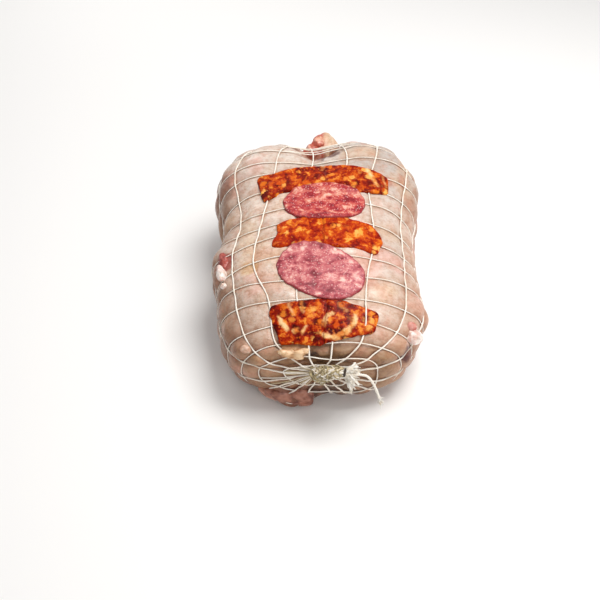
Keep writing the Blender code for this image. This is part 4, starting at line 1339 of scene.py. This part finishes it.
    def _tail_knot(self) -> None:
        """Makes the small gathered knot at the tail end."""
        pole, normal = self.wrap.sample(1.0, 0.0)
        outs, wides = (np.array(values)[:, None] * MM for values in zip(*TAIL_KNOT))
        tubes = []
        for number in range(self.tail_yarns):
            turn = number / self.tail_yarns
            start, out = self.wrap.sample(np.array([0.972, 0.982, 0.991]), turn)
            start = start + out * self.lift * np.array([1, 1.3, 2.0])[:, None]
            angle = 2 * math.pi * turn
            spin = np.array([math.cos(angle), 0, math.sin(angle)])
            path = curved_path(np.vstack([start, pole + normal * outs + spin * wides]), 48)
            tubes.append(tube(path, (0.1, 0.2, 1.0), self.tail_radius))
        self._piece("tail_gather", tubes, self.yarn)
        turn = np.linspace(0, 3 * 2 * math.pi, 90)
        centre = pole + normal * 6.2 * MM
        centre = centre + ((turn / turn[-1] - 0.5) * 2.4 * MM)[:, None] * np.array([0, 1.0, 0])
        path = swing(centre, np.array([1.0, 0, 0]), UP, turn, 2.6 * MM + 0.2 * MM * np.sin(turn))
        self._piece("tail_tie", [tube(path, normal, self.tail_tie_radius, 3 * MM)], self.tie_yarn)


# ---- Sliced meats


@dataclass(frozen=True)
class FatMark:
    """A pale ribbon or blob in a slice: its middle line in the plan and its half width, in millimetres."""

    line: Corners
    half_width: float
    strength: float = 0.9


@dataclass(frozen=True)
class SliceShape:
    """A slice: the solid it stands for, its plan outline in millimetres and what marks it."""

    node: str
    outline: Corners
    thickness: float
    slot: Slot
    tone: float
    under: tuple[str, ...] = ()
    seams: tuple[Corners, ...] = ()
    marks: tuple[FatMark, ...] = ()


SLICES = (
    SliceShape(
        "strip_back",
        ((-48, 46), (-33, 50), (-18, 57), (4, 61), (26, 58), (45, 52), (61, 46), (63, 38), (61, 28), (54, 26),
         (37, 24), (19, 24), (-3, 25), (-24, 26), (-37, 22), (-43, 19), (-46, 31)),
        1.9 * MM, Slot.SAUSAGE, 0.45,
        seams=(((8, 62), (8, 52), (10, 40), (9, 23)),),
        marks=(FatMark(((8, 60), (7, 53)), 1.2, 0.7), FatMark(((44.5, 51), (49, 42), (52.5, 34)), 1.4),
               FatMark(((58, 44), (60, 34)), 0.9, 0.5)),
    ),
    SliceShape(
        "strip_middle",
        ((-31, -12), (-16, -8), (6, -6), (22, -7), (36, -10), (46, -13), (53, -25), (51, -35), (47, -42),
         (34, -41), (19, -40), (2, -39), (-16, -38), (-34, -37), (-35, -30), (-31, -22)),
        1.9 * MM, Slot.SAUSAGE, 1.0,
        seams=(((6, -5), (6, -20), (5, -40)),),
    ),
    SliceShape(
        "strip_front",
        ((-36, -91), (-13, -88), (12, -87), (30, -91), (45, -95), (44, -103), (41, -110), (26, -114),
         (9, -118), (0, -120), (-14, -119), (-28, -118), (-31, -112), (-34, -105)),
        1.9 * MM, Slot.SAUSAGE, 0.05,
        seams=(((6, -86), (5, -100), (3, -121)),),
        marks=(
            FatMark(((27.8, -100.5), (24.9, -107.5), (17.8, -113), (9.2, -115), (3.8, -113.5)), 1.5),
            FatMark(((11, -98.9), (5.4, -100.9), (4, -106)), 1.2, 0.75),
            FatMark(((-29.5, -100.2), (-27.5, -104.2), (-23.5, -108.1)), 1.3),
            FatMark(((-18.8, -110.5), (-15.5, -109.5)), 1.3, 0.8),
            FatMark(((-12, -112), (-9.5, -109)), 1.2, 0.8),
            FatMark(((-12.3, -89.6), (-10.9, -97.2)), 1.0, 0.6),
            FatMark(((-22, -91), (-18.4, -99.2)), 0.9, 0.5),
            FatMark(((15, -90), (21, -96)), 0.9, 0.5),
        ),
    ),
    SliceShape(
        "salami_back",
        ((-27, 14), (-20, 26), (-6, 32), (8, 34), (24, 31), (37, 24), (42, 14), (38, 1), (24, -8), (5, -10),
         (-12, -8), (-23, 1)),
        1.5 * MM, Slot.SALAMI, 1.0, under=("strip_back", "strip_middle"),
    ),
    SliceShape(
        "salami_front",
        ((-32, -57), (-28, -44), (-18, -37), (-7, -35), (8, -38), (24, -46), (35, -57), (37, -68), (32, -80),
         (16, -88), (0, -86), (-15, -79), (-27, -69)),
        1.5 * MM, Slot.SALAMI, 0.0, under=("strip_middle", "strip_front"),
    ),
)


@dataclass
class Slices:
    """The sausage strips and salami slices, draped over the net."""

    wrap: WrappedOutline
    sausage: bpy.types.Material
    salami: bpy.types.Material
    around: int = 240
    rings: int = 46
    floor: float = 0.35 * MM
    over: float = 0.9 * MM
    edge_radius: float = 2.0 * MM
    seam_depth: float = 0.9 * MM
    fat_rise: float = 0.25 * MM
    strip_rise: float = 1.9 * MM
    strand_rise: float = 2.9 * MM
    tree: BVHTree = field(init=False, repr=False)
    outlines: dict[str, Array] = field(init=False, repr=False)

    def __post_init__(self) -> None:
        """Builds the surface that the slices lie on."""
        points = self.wrap.table[::4, :-1:8]
        self.tree = BVHTree.FromPolygons(points.reshape(-1, 3).tolist(), stack(*points.shape[:2]))
        self.outlines = {shape.node: self._outline(shape) for shape in SLICES}

    def _outline(self, shape: SliceShape) -> Array:
        """Closed outline in metres, a little uneven."""
        outline = curved_path(shape.outline, self.around, closed=True) * MM
        ahead = np.roll(outline, -1, axis=0) - np.roll(outline, 1, axis=0)
        out = unit(np.stack([ahead[:, 1], -ahead[:, 0]], axis=1))
        held = np.concatenate([outline, np.zeros((len(outline), 1))], axis=1)
        return outline + out * (0.55 * MM * layered_noise(held, 5 * MM, 103))[:, None]

    def lift_over(self, node: str, plan: Array) -> Array:
        """Height that something gains where it lies over a slice."""
        return smooth_step(depth_inside(plan, self.outlines[node]), -4.5 * MM, 1.5 * MM)

    def strand_lift(self, points: Array) -> Array:
        """Height that the one yarn gains that shows over the front strip."""
        x, y, z = np.moveaxis(points, -1, 0)
        shows = smooth_step(x, 18 * MM, 22 * MM) * smooth_step(y, -108 * MM, -104 * MM)
        above = smooth_step(z, 60 * MM, 75 * MM)
        return self.strand_rise * shows * above * self.lift_over("strip_front", points[..., :2])

    def build(self) -> None:
        """Makes each slice."""
        for shape in SLICES:
            self._slice(shape)

    def _slice(self, shape: SliceShape) -> None:
        """Makes one slice: rings from its middle out over its edge, and back under it."""
        outline, count, rings = self.outlines[shape.node], self.around, self.rings - 1
        centre = outline.mean(axis=0)
        share = 1 - np.linspace(1, 0, self.rings)[1:] ** 1.7
        plan = centre + (outline - centre)[None] * share[:, None, None]
        plan = np.vstack([centre[None], plan.reshape(-1, 2)])
        ground, normals = self._drape(plan)
        depth = np.maximum(depth_inside(plan, outline), 0)
        depth[-count:] = 0
        raised = np.zeros(len(plan))
        for node in shape.under:
            raised = np.maximum(raised, self.strip_rise * self.lift_over(node, plan))
        edge = np.clip(depth / self.edge_radius, 0, 1)
        rounded = np.sqrt(np.clip(1 - (1 - edge) ** 2, 0, 1))
        relief = 0.30 * MM * layered_noise(ground, 7 * MM, 107) + 0.10 * MM * noise(ground, 2.2 * MM, 109)
        seam, fat = self._seam(shape, plan, ground), self._fat(shape, plan, ground)
        thickness = shape.thickness + relief - self.seam_depth * seam + self.fat_rise * fat
        height = np.where(depth > 0, self.over + raised + thickness * rounded, self.over * 0.6 + raised)
        top = ground + height[:, None] * normals
        under = ground + (self.floor + raised * 0.8)[:, None] * normals
        # Under the edge a few wider rings lead back to the middle.
        steps = (rings - 1, rings - 12, rings - 26)
        lows = np.vstack([under[1 + ring * count : 1 + (ring + 1) * count] for ring in steps] + [under[:1]])
        low_start = len(plan)
        faces = fan(0, 1, count) + stack(rings, count, 1) + band(low_start - count, low_start, count)
        faces += stack(len(steps), count, low_start)
        tip = low_start + len(steps) * count
        faces += [face[::-1] for face in fan(tip, tip - count, count)]
        parts = MeshParts()
        parts.add(np.vstack([top, lows]), faces)
        pad = np.zeros(len(lows))
        values = {
            "rim": 0.75 * np.concatenate([smooth_step(-depth, -1.6 * MM, -0.4 * MM), pad + 1]),
            "tone": np.full(len(plan) + len(lows), shape.tone),
            "fat": np.concatenate([fat, pad]), "seam": 0.6 * np.concatenate([seam, pad]),
        }
        material = self.sausage if shape.slot is Slot.SAUSAGE else self.salami
        dress(build_mesh(f"slice_{shape.node}", parts, values=values), material, shape.node)

    def _seam(self, shape: SliceShape, plan: Array, ground: Array) -> Array:
        """How much each point is in a seam of the slice."""
        seam = np.zeros(len(plan))
        wander = plan + 0.8 * MM * np.stack([noise(ground, 6 * MM, 113), seam], axis=1)
        for line in shape.seams:
            gap = distance_to_line(wander, np.array(line) * MM)
            seam = np.maximum(seam, np.exp(-((gap / (0.7 * MM)) ** 2)))
        return seam

    def _fat(self, shape: SliceShape, plan: Array, ground: Array) -> Array:
        """How much each point is in a pale mark of the slice."""
        fat = np.zeros(len(plan))
        shove = np.stack([layered_noise(ground, 4 * MM, seed) for seed in (127, 149)], axis=1)
        ragged = 0.5 * noise(ground, 1.6 * MM, 151)
        for mark in shape.marks:
            line = np.array(mark.line, float)
            if len(line) > 2:
                line = curved_path(line, 5 * len(line))
            gap = distance_to_line(plan + 1.1 * MM * shove, line * MM) / MM + ragged - mark.half_width
            fat = np.maximum(fat, mark.strength * smooth_step(-gap, -1.0, 0.8))
        return fat

    def _drape(self, plan: Array) -> tuple[Array, Array]:
        """Points and smooth normals of the chicken under plan points."""
        ground = np.empty((len(plan), 3))
        normals = np.empty((len(plan), 3))
        down = Vector((0, 0, -1))
        for place, (x, y) in enumerate(plan):
            spots = []
            for dx, dy in ((0, 0), (3 * MM, 0), (-3 * MM, 0), (0, 3 * MM), (0, -3 * MM)):
                hit = self.tree.ray_cast(Vector((x + dx, y + dy, 0.2)), down)
                spots.append(hit[0] if hit[0] is not None else Vector((x + dx, y + dy, 0.05)))
            ground[place] = spots[0]
            normal = (spots[1] - spots[2]).cross(spots[3] - spots[4])
            normals[place] = normal.normalized()
        return ground, normals


# ---- Studio


@dataclass(frozen=True)
class Studio:
    """Pale floor, soft light from above and the camera at the photo's angle."""

    camera_place: Place = (-13.02 * MM, -540.74 * MM, 533.52 * MM)
    azimuth: float = -0.006
    pitch: float = 44.279
    roll: float = -1.177
    lens: float = 50.184
    floor_colour: str = "F4F2EF"
    floor_reach: float = 3.0

    def build(self) -> None:
        """Makes the studio."""
        mesh = bpy.data.meshes.new("floor")
        reach = self.floor_reach
        corners = [(-reach, -reach, 0), (reach, -reach, 0), (reach, reach, 0), (-reach, reach, 0)]
        mesh.from_pydata(corners, [], [(0, 1, 2, 3)])
        floor = link(bpy.data.objects.new("floor", mesh))
        material, _, _ = start_material("Matt white paper", Base_Color=self.floor_colour, Roughness=0.9)
        mesh.materials.append(material)
        world = bpy.data.worlds.new("Studio")
        world.use_nodes = True
        colour, strength = world.node_tree.nodes["Background"].inputs[:2]
        colour.default_value, strength.default_value = srgb("F6F6F8"), 0.45
        bpy.context.scene.world = world
        bpy.context.scene.view_settings.view_transform = "Standard"
        self._light("key", (0.30, 0.02, 0.95), (0.0, 0.0, 0.04), 0.5, 8.3)
        self._light("fill", (0.45, -0.85, 0.55), (0.0, -0.03, 0.04), 0.5, 2.2)
        self._light("back", (-0.35, 0.85, 0.5), (0.0, 0.0, 0.05), 0.4, 1.6)
        self._camera()

    def _light(self, name: str, place: Place, aim: Place, size: float, power: float) -> None:
        """Adds a square soft light."""
        data = bpy.data.lights.new(name, "AREA")
        data.shape, data.size, data.energy = "SQUARE", size, power
        light = link(bpy.data.objects.new(name, data))
        light.location = place
        light.rotation_euler = (Vector(aim) - Vector(place)).to_track_quat("-Z", "Y").to_euler()

    def _camera(self) -> None:
        """Adds the camera, as solved from the photo."""
        tilt, turn = math.radians(self.pitch), math.radians(self.roll)
        level = Vector((math.cos(self.azimuth), -math.sin(self.azimuth), 0))
        forward = Vector((math.sin(self.azimuth), math.cos(self.azimuth), 0))
        ahead = forward * math.cos(tilt) - Vector((0, 0, math.sin(tilt)))
        upright = level.cross(ahead)
        right = level * math.cos(turn) + upright * math.sin(turn)
        up = upright * math.cos(turn) - level * math.sin(turn)
        data = bpy.data.cameras.new("photo_camera")
        data.lens, data.sensor_width, data.shift_y = self.lens, 36, -1 / 600
        data.clip_start, data.clip_end = 0.01, 20
        camera = link(bpy.data.objects.new("photo_camera", data))
        turned = Matrix((right, up, -ahead)).transposed().to_4x4()
        camera.matrix_world = Matrix.Translation(self.camera_place) @ turned
        bpy.context.scene.camera = camera


def main() -> None:
    """Builds the chicken around the frame."""
    logging.basicConfig(level=logging.INFO, format="%(name)s: %(message)s")
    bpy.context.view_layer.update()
    wrap = WrappedOutline()
    skin = RawSkin().build()
    yarn = NetYarn().build()
    stained = NetYarn("D2BE98", "A08A64").build()
    bundle = PlainYarn("Gathered net yarn", "B8A67C", "6E5E3E").build()
    tie = PlainYarn("Dark tie yarn", "4A3626", "2C1E14").build()
    frayed = PlainYarn("Frayed cotton", "F2EDE4", "DCCFBA").build()
    slices = Slices(wrap, CuredSausage().build(), Salami().build())
    Skin(wrap, skin).build()
    Trimmings(skin).build()
    Net(wrap, yarn, stained, bundle, tie, frayed, slices.strand_lift).build()
    slices.build()
    Studio().build()


if __name__ == "__main__":
    main()
